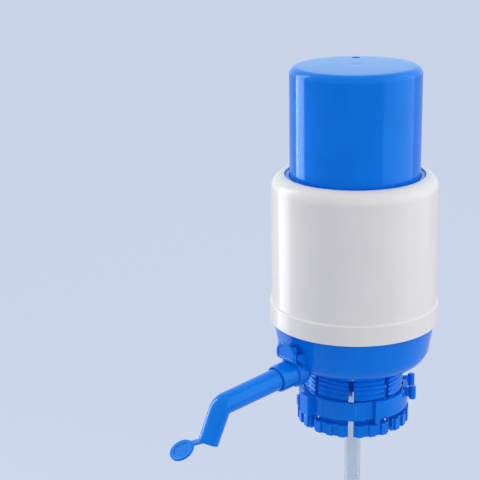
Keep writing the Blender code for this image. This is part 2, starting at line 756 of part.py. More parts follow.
def side_plate(name, outline, middle, thickness):
    """A plate square to X. Its outline is in world Y and Z, and it lies at this X."""
    upright = Matrix(((0, 0, 1, 0), (1, 0, 0, 0), (0, 1, 0, 0), (0, 0, 0, 1)))
    return extruded(name, [outline], thickness, Matrix.Translation((middle, 0, 0)) @ upright)


def make_ear(side):
    """One of the two ears on the bowl that carry the vent lever's pin."""
    low = PIN_LEVEL - EAR_DEPTH
    in_wall = bowl_radius_at(low) - BOWL_WALL / 2
    foot = BOWL_RADIUS - EAR_FOOT_STEP
    nose = [(-PIN_REACH - y, PIN_LEVEL + x) for x, y in arc(0, 0, EAR_RADIUS, 0, 180, EAR_ARC_STEPS)]
    outline = [(-in_wall, PIN_LEVEL + EAR_RADIUS), *nose, (-foot, low), (-in_wall, low)]
    middle = side * (LEVER_BARREL_HALF_WIDTH + FIT_GAP + EAR_THICKNESS / 2)
    return side_plate("ear", outline, middle, EAR_THICKNESS)


def make_base_housing():
    base = turned("base_housing", bowl_profile())
    base = join(base, make_flange())
    for i in range(FINGER_COUNT // 2):
        reach = FLANGE_RADIUS + FLANGE_TOOTH + OVERRUN
        slot = block(
            "slot",
            (-SLOT_WIDTH / 2, -reach, FLANGE_BOTTOM - OVERRUN),
            (SLOT_WIDTH / 2, reach, FLOOR_UNDERSIDE - SLOT_TOP_WEB),
        )
        slot.data.transform(at_angle(math.tau * i / FINGER_COUNT))
        base = cut(base, slot)
    base = drill_ring(
        base, AIR_HOLE_COUNT, AIR_HOLE_CIRCLE, AIR_HOLE_RADIUS, FLOOR_UNDERSIDE, FLOOR_TOP
    )
    socket_root = spout_point(BOWL_RADIUS - SOCKET_ROOT_DEPTH)
    base = join(base, rod("socket", socket_root, spout_point(SOCKET_REACH), SOCKET_RADIUS))
    collar_root = spout_point(BOWL_RADIUS - SOCKET_COLLAR_ROOT_DEPTH)
    collar_end = spout_point(SOCKET_COLLAR_REACH)
    collar_radius = SOCKET_RADIUS + SOCKET_COLLAR_STEP
    base = join(base, rod("socket_collar", collar_root, collar_end, collar_radius))
    channel_radius = CHANNEL_BORE + CHANNEL_WALL
    channel_start = spout_point(CHANNEL_START_REACH)
    channel_end = spout_point(SOCKET_REACH - SOCKET_DEPTH - OVERRUN)
    base = join(base, rod("channel", channel_start, channel_end, channel_radius))
    seat_end = (0, BOWL_WALL / 2 - bowl_radius_at(VENT_LEVEL), VENT_LEVEL)
    seat = rod("vent_seat", (0, -VENT_SEAT_REACH, VENT_LEVEL), seat_end, VENT_SEAT_RADIUS)
    base = join(base, seat)
    for side in (-1, 1):
        base = join(base, make_ear(side))
    mouth = spout_point(SOCKET_REACH + OVERRUN)
    socket_floor = spout_point(SOCKET_REACH - SOCKET_DEPTH)
    arm_mouth = spout_point(CHANNEL_START_REACH - OVERRUN)
    arm_seat = spout_point(ELBOW_ARM_REACH + FIT_GAP)
    base = cut(base, rod("socket_bore", socket_floor, mouth, SOCKET_BORE))
    base = cut(base, rod("arm_bore", arm_mouth, arm_seat, CHANNEL_BORE))
    base = cut(base, rod("water_way", arm_mouth, mouth, SPOUT_BORE_RADIUS))
    hole_ends = ((0, -VENT_SEAT_REACH + OVERRUN, VENT_LEVEL), (0, -PIN_REACH, VENT_LEVEL))
    base = cut(base, rod("vent_hole", *hole_ends, VENT_HOLE_RADIUS, HOLE_STEPS))
    pin_side = Vector((LEVER_BARREL_HALF_WIDTH + FIT_GAP + EAR_THICKNESS + OVERRUN, 0, 0))
    pin_ends = (pin_centre() - pin_side, pin_centre() + pin_side)
    return cut(base, rod("pin_hole", *pin_ends, PIN_RADIUS + FIT_GAP, HOLE_STEPS))


def make_bottle_gasket():
    outer = COLLAR_BORE - FIT_GAP
    return ring("bottle_gasket", GASKET_INNER_RADIUS, outer, 0, GASKET_THICKNESS, HIDDEN_RING_STEPS)


def bellows_wall():
    """Radius and height of the bellows's middle surface, from the flange up to the head."""
    bottom = CLAMPED_RING_TOP + BELLOWS_NECK_HEIGHT
    top = HEAD_BOTTOM - BELLOWS_CUFF_LIP - BELLOWS_NECK_HEIGHT
    pitch = (top - bottom) / BELLOWS_PLEATS
    crest = BELLOWS_OUTER_RADIUS - BELLOWS_WALL / 2
    root = BELLOWS_INNER_RADIUS - BELLOWS_WALL / 2
    points = []
    for i in range(BELLOWS_PLEATS):
        points.append((crest, bottom + pitch * i))
        points.append((root, bottom + pitch * (i + CREST_TO_ROOT_SHARE)))
    return points


def make_bellows():
    flange_inner = PLATE_RADIUS - CLAMPED_RING_WIDTH - BELLOWS_WALL - FIT_GAP
    flange_outer = PLATE_RADIUS - BELLOWS_FLANGE_INSET
    flange_top = BELLOWS_BOTTOM + BELLOWS_FLANGE_THICKNESS
    cuff_bottom = HEAD_BOTTOM - FIT_GAP - BELLOWS_CUFF_LIP
    cuff_top = HEAD_TOP + FIT_GAP + BELLOWS_CUFF_LIP
    grip = BELLOWS_CUFF_BORE - BELLOWS_CUFF_GRIP
    half = BELLOWS_WALL / 2
    middle = bellows_wall()
    outer = [(BELLOWS_INNER_RADIUS, cuff_top)]
    outer += [(radius + half, height) for radius, height in reversed(middle)]
    outer += [(flange_inner + BELLOWS_WALL, flange_top), (flange_outer, flange_top)]
    outer += [(flange_outer, BELLOWS_BOTTOM), (flange_inner, BELLOWS_BOTTOM)]
    inner = [(flange_inner, flange_top)]
    inner += [(radius - half, height) for radius, height in middle]
    inner += [
        (BELLOWS_CUFF_BORE, cuff_bottom - BELLOWS_NECK_HEIGHT / 2),
        (grip, cuff_bottom),
        (grip, cuff_bottom + BELLOWS_CUFF_LIP),
        (BELLOWS_CUFF_BORE, cuff_bottom + BELLOWS_CUFF_LIP),
        (BELLOWS_CUFF_BORE, cuff_top - BELLOWS_CUFF_LIP),
        (grip, cuff_top - BELLOWS_CUFF_LIP),
        (grip, cuff_top),
    ]
    return turned("bellows", outer + inner, BELLOWS_STEPS)


def ported_plate(name, radius, bottom, top, locator_up, extra=()):
    """A round plate with a stem hole, a ring of air ports and a ring that centres the spring."""
    locator_low = top if locator_up else bottom
    locator_high = locator_low + (SPRING_LOCATOR_HEIGHT if locator_up else -SPRING_LOCATOR_HEIGHT)
    inner = SPRING_LOCATOR_RADIUS - SPRING_LOCATOR_WALL
    step = [
        (SPRING_LOCATOR_RADIUS, locator_low),
        (SPRING_LOCATOR_RADIUS, locator_high),
        (inner, locator_high),
        (inner, locator_low),
    ]
    rim = list(extra) or [(radius, top), (radius, bottom)]
    if locator_up:
        profile = step[::-1] + rim + [(STEM_HOLE_RADIUS, bottom), (STEM_HOLE_RADIUS, top)]
    else:
        profile = rim + step + [(STEM_HOLE_RADIUS, bottom), (STEM_HOLE_RADIUS, top)]
    plate = turned(name, profile, HIDDEN_RING_STEPS)
    ports = (VALVE_PORT_COUNT, VALVE_PORT_CIRCLE, VALVE_PORT_RADIUS)
    return drill_ring(plate, *ports, bottom, top, PORT_STEPS)


def make_bellows_head():
    return ported_plate("bellows_head", HEAD_RADIUS, HEAD_BOTTOM, HEAD_TOP, locator_up=False)


def make_valve_plate():
    """The plate that closes the air chamber. Its rim is cut back below for the seal."""
    rebate_radius = LEDGE_BORE + FIT_GAP
    rim = [
        (PLATE_RADIUS, VALVE_PLATE_TOP),
        (PLATE_RADIUS, VALVE_PLATE_BOTTOM + CHAMBER_SEAL_REBATE),
        (rebate_radius, VALVE_PLATE_BOTTOM + CHAMBER_SEAL_REBATE),
        (rebate_radius, VALVE_PLATE_BOTTOM),
    ]
    return ported_plate(
        "valve_plate", PLATE_RADIUS, VALVE_PLATE_BOTTOM, VALVE_PLATE_TOP, True, extra=rim
    )


def check_valve(name, plate_bottom, plate_top):
    """A rubber valve: a disc under its plate and a stem with a bulb that holds it there."""
    disc_top = plate_bottom - FIT_GAP
    disc_bottom = disc_top - VALVE_DISC_THICKNESS
    bulb_bottom = plate_top + VALVE_LIFT + FIT_GAP
    bulb_top = bulb_bottom + VALVE_BULB_HEIGHT
    profile = [
        (0, bulb_top),
        (VALVE_STEM_RADIUS, bulb_top),
        (VALVE_BULB_RADIUS, bulb_bottom + VALVE_BULB_HEIGHT / 3),
        (VALVE_BULB_RADIUS, bulb_bottom),
        (VALVE_STEM_RADIUS, bulb_bottom),
        (VALVE_STEM_RADIUS, disc_top),
        (VALVE_DISC_RADIUS, disc_top),
        (VALVE_DISC_RADIUS, disc_top - VALVE_DISC_THICKNESS / 2),
        (VALVE_STEM_RADIUS, disc_bottom),
        (0, disc_bottom),
    ]
    return turned(name, profile, SMALL_RING_STEPS, closed=False)


def make_clamped_ring():
    """The ring that presses the bellows's flange on to the valve plate."""
    inner = PLATE_RADIUS - CLAMPED_RING_WIDTH
    heights = (CLAMPED_RING_BOTTOM, CLAMPED_RING_TOP)
    return ring("bellows_clamp_ring", inner, PLATE_RADIUS, *heights, HIDDEN_RING_STEPS)


def make_return_spring():
    bottom = VALVE_PLATE_TOP + FIT_GAP + SPRING_WIRE_RADIUS
    top = HEAD_BOTTOM - FIT_GAP - SPRING_WIRE_RADIUS
    count = SPRING_TURNS * SPRING_POINTS_PER_TURN
    points = []
    for i in range(count + 1):
        angle = math.tau * i / SPRING_POINTS_PER_TURN
        share = i / count
        # The end turns lie flatter than the ones between them.
        rise = share - math.sin(math.tau * share) / math.tau * SPRING_END_EASE_SHARE
        points.append(around(angle, SPRING_RADIUS, bottom + (top - bottom) * rise))
    return pipe("return_spring", points, [SPRING_WIRE_RADIUS] * len(points), resolution=1)


def make_chamber_seal():
    corner = SPIGOT_BORE - SEAL_GAP - CHAMBER_SEAL_RADIUS
    centre = (0, 0, LEDGE_TOP + SEAL_GAP / 2 + CHAMBER_SEAL_RADIUS)
    return o_ring("chamber_seal", centre, (0, 0, 1), corner, CHAMBER_SEAL_RADIUS, HIDDEN_RING_STEPS)


def make_water_elbow():
    """The moulded elbow that takes water from the dip tube to the spout."""
    top = SPOUT_LEVEL + ELBOW_RISER_RADIUS
    profile = arc(0, SPOUT_LEVEL, ELBOW_RISER_RADIUS, 90, 0)
    profile[0] = (0, top)
    profile += [(ELBOW_RISER_RADIUS, -ELBOW_RISER_DROP), (0, -ELBOW_RISER_DROP)]
    elbow = turned("water_elbow", profile, SMALL_RING_STEPS, closed=False)
    arm_end = spout_point(ELBOW_ARM_REACH)
    elbow = join(elbow, rod("arm", spout_point(0), arm_end, ELBOW_ARM_RADIUS))
    low = -ELBOW_RISER_DROP - OVERRUN
    bore_top = (0, 0, SPOUT_LEVEL + WATER_BORE_RADIUS)
    elbow = cut(elbow, rod("riser_bore", (0, 0, low), bore_top, WATER_BORE_RADIUS))
    arm_past = spout_point(ELBOW_ARM_REACH + OVERRUN)
    elbow = cut(elbow, rod("arm_bore", spout_point(0), arm_past, WATER_BORE_RADIUS))
    socket_top = (0, 0, -ELBOW_RISER_DROP + TUBE_SOCKET_DEPTH)
    elbow = cut(elbow, rod("tube_socket", (0, 0, low), socket_top, TUBE_SOCKET_RADIUS))
    groove_at = ELBOW_ARM_REACH - O_RING_FROM_END
    groove = groove_cutter(groove_at, ELBOW_ARM_RADIUS, ELBOW_GROOVE_DEPTH, ELBOW_GROOVE_WIDTH)
    return cut(elbow, groove)


def groove_cutter(reach, surface_radius, depth, width):
    """A ring that cuts an O-ring groove round the spout's axis."""
    outer = surface_radius + OVERRUN
    cutter = ring("groove", surface_radius - depth, outer, -width / 2, width / 2, SMALL_RING_STEPS)
    along = spout_point(1) - spout_point(0)
    turn = along.to_track_quat("Z", "Y").to_matrix().to_4x4()
    cutter.data.transform(Matrix.Translation(spout_point(reach)) @ turn)
    return cutter


def axis_seal(name, reach, surface_radius, bore_radius, depth):
    """An O-ring in its groove round the spout's axis, inside a bore."""
    inner = surface_radius - depth + SEAL_GAP
    outer = bore_radius - SEAL_GAP
    along = spout_point(1) - spout_point(0)
    return o_ring(name, spout_point(reach), along, (inner + outer) / 2, (outer - inner) / 2)


def make_elbow_grommet():
    lip = GROMMET_RADIUS + GROMMET_LIP
    upper = FLOOR_TOP + SEAL_GAP
    lower = FLOOR_UNDERSIDE - SEAL_GAP
    profile = [
        (lip, upper + GROMMET_LIP_THICKNESS),
        (lip, upper),
        (GROMMET_RADIUS, upper),
        (GROMMET_RADIUS, lower),
        (lip, lower),
        (lip, lower - GROMMET_LIP_THICKNESS),
        (GROMMET_BORE, lower - GROMMET_LIP_THICKNESS),
        (GROMMET_BORE, upper + GROMMET_LIP_THICKNESS),
    ]
    return turned("elbow_grommet", profile, SMALL_RING_STEPS)


def spout_route(start_reach, end_past):
    """The points of the spout's tube, with its bend, from inside the socket to past the tip."""
    corner = spout_corner()
    into = spout_point(1) - spout_point(0)
    out = leg_direction()
    turn = into.angle(out)
    setback = SPOUT_BEND_RADIUS * math.tan(turn / 2)
    bend_start = corner - into * setback
    centre_way = (out - into * into.dot(out)).normalized()
    centre = bend_start + centre_way * SPOUT_BEND_RADIUS
    points = [spout_point(start_reach)]
    for i in range(SPOUT_BEND_STEPS + 1):
        angle = turn * i / SPOUT_BEND_STEPS
        spoke = -centre_way * math.cos(angle) + into * math.sin(angle)
        points.append(centre + spoke * SPOUT_BEND_RADIUS)
    points.append(spout_tip() + out * end_past)
    return points


def make_spout():
    start = SOCKET_REACH - SOCKET_DEPTH + FIT_GAP
    points = spout_route(start, 0)
    bend = [
        SPOUT_ELBOW_RADIUS + (SPOUT_LEG_RADIUS - SPOUT_ELBOW_RADIUS) * i / SPOUT_BEND_STEPS
        for i in range(SPOUT_BEND_STEPS + 1)
    ]
    body = pipe("spout", points, [SPOUT_RADIUS, *bend, SPOUT_TIP_RADIUS], resolution=6)
    body = join(body, make_strap_root())
    bore_points = spout_route(start - OVERRUN, OVERRUN)
    bore = pipe("bore", bore_points, [SPOUT_BORE_RADIUS] * len(bore_points), resolution=4)
    body = cut(body, bore)
    groove_at = start + O_RING_FROM_END
    groove = groove_cutter(groove_at, SPOUT_RADIUS, O_RING_GROOVE_DEPTH, O_RING_GROOVE_WIDTH)
    return cut(body, groove)


def strap_piece(name, pivot, end):
    """A flat strip in the spout's plane, thinned to a wedge where it bends at the pivot."""
    length = (end - pivot).length
    half = STRAP_THICKNESS / 2
    slope = half / STRAP_WEDGE_LENGTH
    outline = [
        (FIT_GAP, -FIT_GAP * slope),
        (STRAP_WEDGE_LENGTH, -half),
        (length, -half),
        (length, half),
        (STRAP_WEDGE_LENGTH, half),
        (FIT_GAP, FIT_GAP * slope),
    ]
    strip = side_plate(name, outline, 0, STRAP_WIDTH)
    run = end - pivot
    turn = Matrix.Rotation(math.atan2(run.z, run.y), 4, "X")
    strip.data.transform(Matrix.Translation(pivot) @ turn)
    return strip


def make_strap_root():
    """The half of the strap that stays with the spout."""
    wall = SPOUT_TIP_RADIUS - SPOUT_BORE_RADIUS
    root = spout_tip() - leg_direction() * STRAP_ROOT_UP
    end = root + leg_outward() * (SPOUT_TIP_RADIUS - wall / 2)
    return strap_piece("strap_root", strap_pivot(), end)


def dust_cap_place():
    """Takes a shape made at the closed place, on the spout's tip, to the open place."""
    pivot = Matrix.Translation(strap_pivot())
    return pivot @ Matrix.Rotation(-DUST_OPEN_ANGLE, 4, "X") @ pivot.inverted()


def make_dust_cap():
    """The cap, made on the spout's tip and then swung open on its strap."""
    rim_inner = DUST_DISC_RADIUS - DUST_RIM_WIDTH
    low = FIT_GAP
    face = low + DUST_DISC_THICKNESS - DUST_RIM_HEIGHT
    rim = low + DUST_DISC_THICKNESS
    edge = DUST_RIM_HEIGHT
    plug_end = low - DUST_PLUG_LENGTH
    plug_bore = DUST_PLUG_RADIUS - DUST_PLUG_WALL
    profile = [
        (0, face),
        (rim_inner - edge, face),
        (rim_inner, rim),
        (DUST_DISC_RADIUS - edge, rim),
        (DUST_DISC_RADIUS, rim - edge),
        (DUST_DISC_RADIUS, low),
        (DUST_PLUG_RADIUS, low),
        (DUST_PLUG_RADIUS, plug_end),
        (plug_bore, plug_end),
        (plug_bore, low),
        (0, low),
    ]
    body = turned("dust_cap", profile, SMALL_RING_STEPS, closed=False)
    turn = leg_direction().to_track_quat("Z", "Y").to_matrix().to_4x4()
    body.data.transform(Matrix.Translation(spout_tip()) @ turn)
    middle = spout_tip() + leg_direction() * (low + DUST_DISC_THICKNESS / 2)
    end = middle + leg_outward() * (DUST_DISC_RADIUS - DUST_RIM_WIDTH)
    body = join(body, strap_piece("strap_end", strap_pivot(), end))
    body.data.transform(dust_cap_place())
    return body


def lever_plate_reach(level):
    """How far out the middle of the lever's plate lies at a height."""
    lean = (level - LEVER_PLATE_BOTTOM) * math.tan(SPOUT_SLOPE)
    return LEVER_PLATE_REACH + lean - LEVER_PLATE_THICKNESS / 2


def make_lever_cheek(side):
    """A side wall of the lever, from the barrel up behind the plate."""
    outline = [
        (-lever_plate_reach(PIN_LEVEL), PIN_LEVEL),
        (-PIN_REACH, PIN_LEVEL),
        (-PIN_REACH - LEVER_CHEEK_LEAN, LEVER_CHEEK_TOP),
        (-lever_plate_reach(LEVER_CHEEK_TOP), LEVER_CHEEK_TOP),
    ]
    middle = side * (LEVER_BARREL_HALF_WIDTH - LEVER_CHEEK_INSET - LEVER_CHEEK_THICKNESS / 2)
    return side_plate("lever_cheek", outline, middle, LEVER_CHEEK_THICKNESS)


def make_vent_lever():
    """The D-shaped thumb plate, the barrel that turns on the pin and the nose that pushes."""
    radius = LEVER_PLATE_RADIUS
    straight = LEVER_PLATE_STRAIGHT
    outline = [(-radius, 0), (radius, 0)]
    outline += [(x, straight + y) for x, y in arc(0, 0, radius, 0, 180, LEVER_ARC_STEPS)]
    # The plate's own y runs up square to the spout, and its z runs out along the spout.
    along = spout_point(1) - spout_point(0)
    up = spout_point(0, rise=1) - spout_point(0)
    front = Vector((0, -LEVER_PLATE_REACH, LEVER_PLATE_BOTTOM))
    place = Matrix.Identity(4)
    place.col[0].xyz = up.cross(along)
    place.col[1].xyz = up
    place.col[2].xyz = along
    place.col[3].xyz = front - along * LEVER_PLATE_THICKNESS / 2
    lever = extruded("vent_lever", [outline], LEVER_PLATE_THICKNESS, place)
    pin = pin_centre()
    half = Vector((LEVER_BARREL_HALF_WIDTH, 0, 0))
    lever = join(lever, rod("barrel", pin - half, pin + half, LEVER_BARREL_RADIUS))
    for side in (-1, 1):
        lever = join(lever, make_lever_cheek(side))
    web_side = half.x - LEVER_CHEEK_THICKNESS
    web_low = (-web_side, -lever_plate_reach(PIN_LEVEL), pin.z - LEVER_BARREL_RADIUS / 2)
    web_high = (web_side, pin.y, pin.z + LEVER_BARREL_RADIUS / 2)
    lever = join(lever, block("web", web_low, web_high))
    nose_end = (0, -VENT_STEM_REACH - FIT_GAP, VENT_LEVEL)
    nose_start = (0, -lever_plate_reach(VENT_LEVEL), VENT_LEVEL)
    lever = join(lever, rod("nose", nose_start, nose_end, LEVER_NOSE_RADIUS, HOLE_STEPS))
    bore_side = half + Vector((OVERRUN, 0, 0))
    bore = rod("pin_bore", pin - bore_side, pin + bore_side, PIN_RADIUS + FIT_GAP, HOLE_STEPS)
    return cut(lever, bore)


def make_vent_pin():
    half = Vector((LEVER_BARREL_HALF_WIDTH + EAR_THICKNESS, 0, 0))
    return rod("vent_pin", pin_centre() - half, pin_centre() + half, PIN_RADIUS, HOLE_STEPS)


def make_vent_valve():
    """A rubber poppet: the head seats inside the bowl's wall and the stem reaches the lever."""
    head_front = -VENT_SEAT_REACH + FIT_GAP
    head_back = head_front + VENT_HEAD_THICKNESS
    head_ends = ((0, head_front, VENT_LEVEL), (0, head_back, VENT_LEVEL))
    head = rod("vent_valve", *head_ends, VENT_HEAD_RADIUS)
    stem_start = (0, head_front + VENT_HEAD_THICKNESS / 2, VENT_LEVEL)
    stem_end = (0, -VENT_STEM_REACH, VENT_LEVEL)
    return join(head, rod("stem", stem_start, stem_end, VENT_STEM_RADIUS, HOLE_STEPS))


def ring_spans():
    """The clamp ring's outer radius from angle to angle: ribbed window, hollow, raised band."""
    spans = []
    angle = END_BLOCK_ANGLE
    for i in range(RIB_COUNT):
        rib = RIB_FIRST + i * RIB_PITCH
        spans.append((angle, rib, RING_WINDOW_RADIUS))
        spans.append((rib, rib + RIB_SPAN, RING_WINDOW_RADIUS + RIB_HEIGHT))
        angle = rib + RIB_SPAN
    spans.append((angle, RING_HOLLOW_FROM, RING_WINDOW_RADIUS))
    spans.append((RING_HOLLOW_FROM, RING_BAND_FROM, RING_BORE + RING_HOLLOW_WALL))
    spans.append((RING_BAND_FROM, END_BLOCK_ANGLE + math.tau, RING_BAND_RADIUS))
    return spans


def ring_outline():
    """The clamp ring seen from above."""
    outline = []
    for start, end, radius in ring_spans():
        steps = math.ceil((end - start) / RING_STEP_ANGLE)
        for i in range(steps + 1):
            point = around(start + (end - start) * i / steps, radius)
            outline.append((point.x, point.y))
    return outline


def ring_block(name, angle, side_from, side_to, reach, low, high):
    """A block that stands out from the clamp ring at an angle round the axis."""
    root = (RING_BORE + RING_WINDOW_RADIUS) / 2
    made = block(name, (side_from, -reach, low), (side_to, -root, high))
    made.data.transform(at_angle(angle))
    return made


def make_lug(angle):
    """A finger lug: a web with a bead on its outer edge."""
    high = RING_TOP + LUG_RISE
    low = high - LUG_HEIGHT
    bead_at = LUG_RADIUS - LUG_BEAD_RADIUS
    inset = LUG_BEAD_RADIUS - LUG_WEB / 2
    web = ring_block("lug", angle, -LUG_WEB / 2, LUG_WEB / 2, bead_at, low + inset, high - inset)
    ends = (around(angle, bead_at, low), around(angle, bead_at, high))
    return join(web, rod("bead", *ends, LUG_BEAD_RADIUS, HOLE_STEPS))


def make_clamp_ring():
    middle = (RING_TOP + RING_BOTTOM) / 2
    outline = [ring_outline(), circle(RING_BORE, LARGE_RING_STEPS)]
    body = extruded("clamp_ring", outline, RING_HEIGHT, Matrix.Translation((0, 0, middle)))
    for i in range(LUG_COUNT):
        body = join(body, make_lug(LUG_FIRST + i * LUG_PITCH))
    half = END_BLOCK_WIDTH / 2
    ends = (RING_BOTTOM - RIB_HEIGHT, RING_TOP + RIB_HEIGHT)
    end_block = ring_block("end_block", END_BLOCK_ANGLE, -half, half, END_BLOCK_RADIUS, *ends)
    body = join(body, end_block)
    half = TAB_WIDTH / 2
    ends = (middle - TAB_HEIGHT / 2, middle + TAB_HEIGHT / 2)
    body = join(body, ring_block("tab", TAB_ANGLE, -half, half, LUG_RADIUS, *ends))
    pawl_reach = RING_BAND_RADIUS + RIB_HEIGHT
    ends = (RING_BOTTOM - PAWL_DROP, RING_TOP + RIB_HEIGHT)
    body = join(body, ring_block("pawl", RING_BAND_FROM, -RIB_HEIGHT, PAWL_WIDTH, pawl_reach, *ends))
    notch = block(
        "notch",
        (-NOTCH_WIDTH / 2, -RING_BAND_RADIUS - OVERRUN, RING_BOTTOM - OVERRUN),
        (NOTCH_WIDTH / 2, -RING_WINDOW_RADIUS, RING_BOTTOM + NOTCH_HEIGHT),
    )
    notch.data.transform(at_angle(NOTCH_ANGLE))
    return cut(body, notch)


def tube_top():
    return -ELBOW_RISER_DROP + TUBE_SOCKET_DEPTH - FIT_GAP


def make_dip_tube(name, top):
    return ring(name, TUBE_BORE_RADIUS, TUBE_RADIUS, top - TUBE_SECTION_LENGTH, top, SMALL_RING_STEPS)


def lower_tube_top():
    return tube_top() - TUBE_SECTION_LENGTH - COUPLER_RIB_WIDTH - 2 * FIT_GAP


def make_tube_coupler():
    middle = (tube_top() - TUBE_SECTION_LENGTH + lower_tube_top()) / 2
    outer = TUBE_SOCKET_RADIUS + COUPLER_WALL
    half, rib = COUPLER_LENGTH / 2, COUPLER_RIB_WIDTH / 2
    profile = [
        (outer, middle + half),
        (outer, middle - half),
        (TUBE_SOCKET_RADIUS, middle - half),
        (TUBE_SOCKET_RADIUS, middle - rib),
        (TUBE_BORE_RADIUS, middle - rib),
        (TUBE_BORE_RADIUS, middle + rib),
        (TUBE_SOCKET_RADIUS, middle + rib),
        (TUBE_SOCKET_RADIUS, middle + half),
    ]
    return turned("tube_coupler", profile, SMALL_RING_STEPS)


def make_strainer_foot():
    """The flared foot on the tube's end, notched so that water gets in under it."""
    shoulder = lower_tube_top() - TUBE_SECTION_LENGTH - FIT_GAP
    top = shoulder + TUBE_SOCKET_DEPTH
    bottom = top - FOOT_HEIGHT
    outer = TUBE_SOCKET_RADIUS + FOOT_WALL
    flare_top = bottom + FOOT_NOTCH_HEIGHT
    profile = [
        (outer, top),
        (outer, flare_top + FOOT_FLARE),
        (outer + FOOT_FLARE, flare_top),
        (outer + FOOT_FLARE, bottom),
        (TUBE_SOCKET_RADIUS + FOOT_FLARE, bottom),
        (TUBE_SOCKET_RADIUS + FOOT_FLARE, flare_top - FOOT_FLARE),
        (TUBE_BORE_RADIUS, flare_top),
        (TUBE_BORE_RADIUS, shoulder),
        (TUBE_SOCKET_RADIUS, shoulder),
        (TUBE_SOCKET_RADIUS, top),
    ]
    foot = turned("strainer_foot", profile, SMALL_RING_STEPS)
    reach = outer + FOOT_FLARE + OVERRUN
    for i in range(FOOT_NOTCH_COUNT):
        notch = block(
            "notch",
            (-FOOT_NOTCH_WIDTH / 2, -reach, bottom - OVERRUN),
            (FOOT_NOTCH_WIDTH / 2, reach, flare_top - FOOT_FLARE),
        )
        notch.data.transform(at_angle(math.pi * i / FOOT_NOTCH_COUNT))
        foot = cut(foot, notch)
    return foot


# Assembly


def place_part(obj, finish, collection, pivot=None, parent=None):
    """Files a finished piece, gives it its material and moves its origin to its joint."""
    for holder in list(obj.users_collection):
        holder.objects.unlink(obj)
    collection.objects.link(obj)
    obj.data.materials.append(finish)
    obj.data.shade_smooth()
    obj.data.set_sharp_from_angle(angle=SHARP_ANGLE)
    if pivot is not None:
        obj.data.transform(Matrix.Translation(-Vector(pivot)))
        obj.location = pivot
    if parent is not None:
        obj.parent = parent
        obj.matrix_parent_inverse = parent.matrix_world.inverted()
    bpy.context.view_layer.update()
    return obj


def joint_axis(name, place, collection):
    """An empty on a joint's axis, which its moving pieces hang from."""
    empty = bpy.data.objects.new(name, None)
    empty.location = place
    collection.objects.link(empty)
    bpy.context.view_layer.update()
    return empty


def main():
    clear_scene()
    parts = new_collection("water_jug_hand_pump")
    blue = material("blue_plastic", (0.005, 0.15, 0.70), 0.22)
    white = material("white_plastic", (0.86, 0.87, 0.88), 0.25)
    natural = material("natural_plastic", (0.80, 0.83, 0.84), 0.35, transmission=0.4)
    rubber = material("white_rubber", (0.72, 0.73, 0.72), 0.55)
    dark_rubber = material("dark_rubber", (0.03, 0.03, 0.035), 0.6)
    steel = material("steel", (0.62, 0.63, 0.65), 0.3, metallic=1.0)

    press = joint_axis("press_axis", (0, 0, CAP_TOP), parts)
    clamp = joint_axis("clamp_axis", (0, 0, RING_TOP), parts)
    swivel = joint_axis("spout_axis", spout_point(SOCKET_REACH), parts)
    strap = joint_axis("dust_cap_axis", strap_pivot(), parts)
    vent = joint_axis("vent_axis", pin_centre(), parts)
    strap.parent = swivel
    strap.matrix_parent_inverse = swivel.matrix_world.inverted()

    place_part(make_outer_shell(), white, parts)
    place_part(make_base_housing(), blue, parts)
    place_part(make_cap_retainer(), blue, parts)
    place_part(make_valve_plate(), white, parts)
    place_part(make_clamped_ring(), white, parts)
    place_part(make_chamber_seal(), dark_rubber, parts)
    place_part(make_bellows(), rubber, parts)
    place_part(make_return_spring(), steel, parts)
    place_part(make_water_elbow(), white, parts)
    place_part(make_elbow_grommet(), rubber, parts)
    arm_groove = ELBOW_ARM_REACH - O_RING_FROM_END
    arm_bores = (ELBOW_ARM_RADIUS, CHANNEL_BORE, ELBOW_GROOVE_DEPTH)
    arm_seal = axis_seal("elbow_seal", arm_groove, *arm_bores)
    place_part(arm_seal, dark_rubber, parts)
    place_part(make_bottle_gasket(), rubber, parts)
    place_part(make_vent_pin(), blue, parts)
    place_part(make_dip_tube("dip_tube_upper", tube_top()), natural, parts)
    place_part(make_tube_coupler(), white, parts)
    place_part(make_dip_tube("dip_tube_lower", lower_tube_top()), natural, parts)
    place_part(make_strainer_foot(), white, parts)

    place_part(make_press_cap(), blue, parts, (0, 0, CAP_TOP), press)
    place_part(make_bellows_head(), white, parts, (0, 0, HEAD_TOP), press)
    inlet = check_valve("inlet_valve", HEAD_BOTTOM, HEAD_TOP)
    place_part(inlet, rubber, parts, (0, 0, HEAD_BOTTOM), press)
    outlet = check_valve("outlet_valve", VALVE_PLATE_BOTTOM, VALVE_PLATE_TOP)
    place_part(outlet, rubber, parts, (0, 0, VALVE_PLATE_BOTTOM))
    place_part(make_clamp_ring(), blue, parts, (0, 0, RING_TOP), clamp)
    place_part(make_spout(), blue, parts, spout_point(SOCKET_REACH), swivel)
    spout_groove = SOCKET_REACH - SOCKET_DEPTH + FIT_GAP + O_RING_FROM_END
    spout_bores = (SPOUT_RADIUS, SOCKET_BORE, O_RING_GROOVE_DEPTH)
    spout_seal = axis_seal("spout_seal", spout_groove, *spout_bores)
    place_part(spout_seal, dark_rubber, parts, spout_point(SOCKET_REACH), swivel)
    place_part(make_dust_cap(), blue, parts, strap_pivot(), strap)
    place_part(make_vent_lever(), blue, parts, pin_centre(), vent)
    place_part(make_vent_valve(), dark_rubber, parts, (0, -VENT_SEAT_REACH, VENT_LEVEL))


if __name__ == "__main__":
    main()
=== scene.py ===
"""Dresses the solid hand pump for a water jug and sets a plain stage for it.

The pieces that show are made again in fine mesh code in the places of their CAD nodes, and the
pieces inside keep their CAD solids with their own finishes. Lengths are typed in millimetres in
the settings and used in metres. Heights count from the seat, which is the gasket's underside,
on the pump's axis.
"""

import json
import math

import bmesh
import bpy
from mathutils import Matrix, Vector


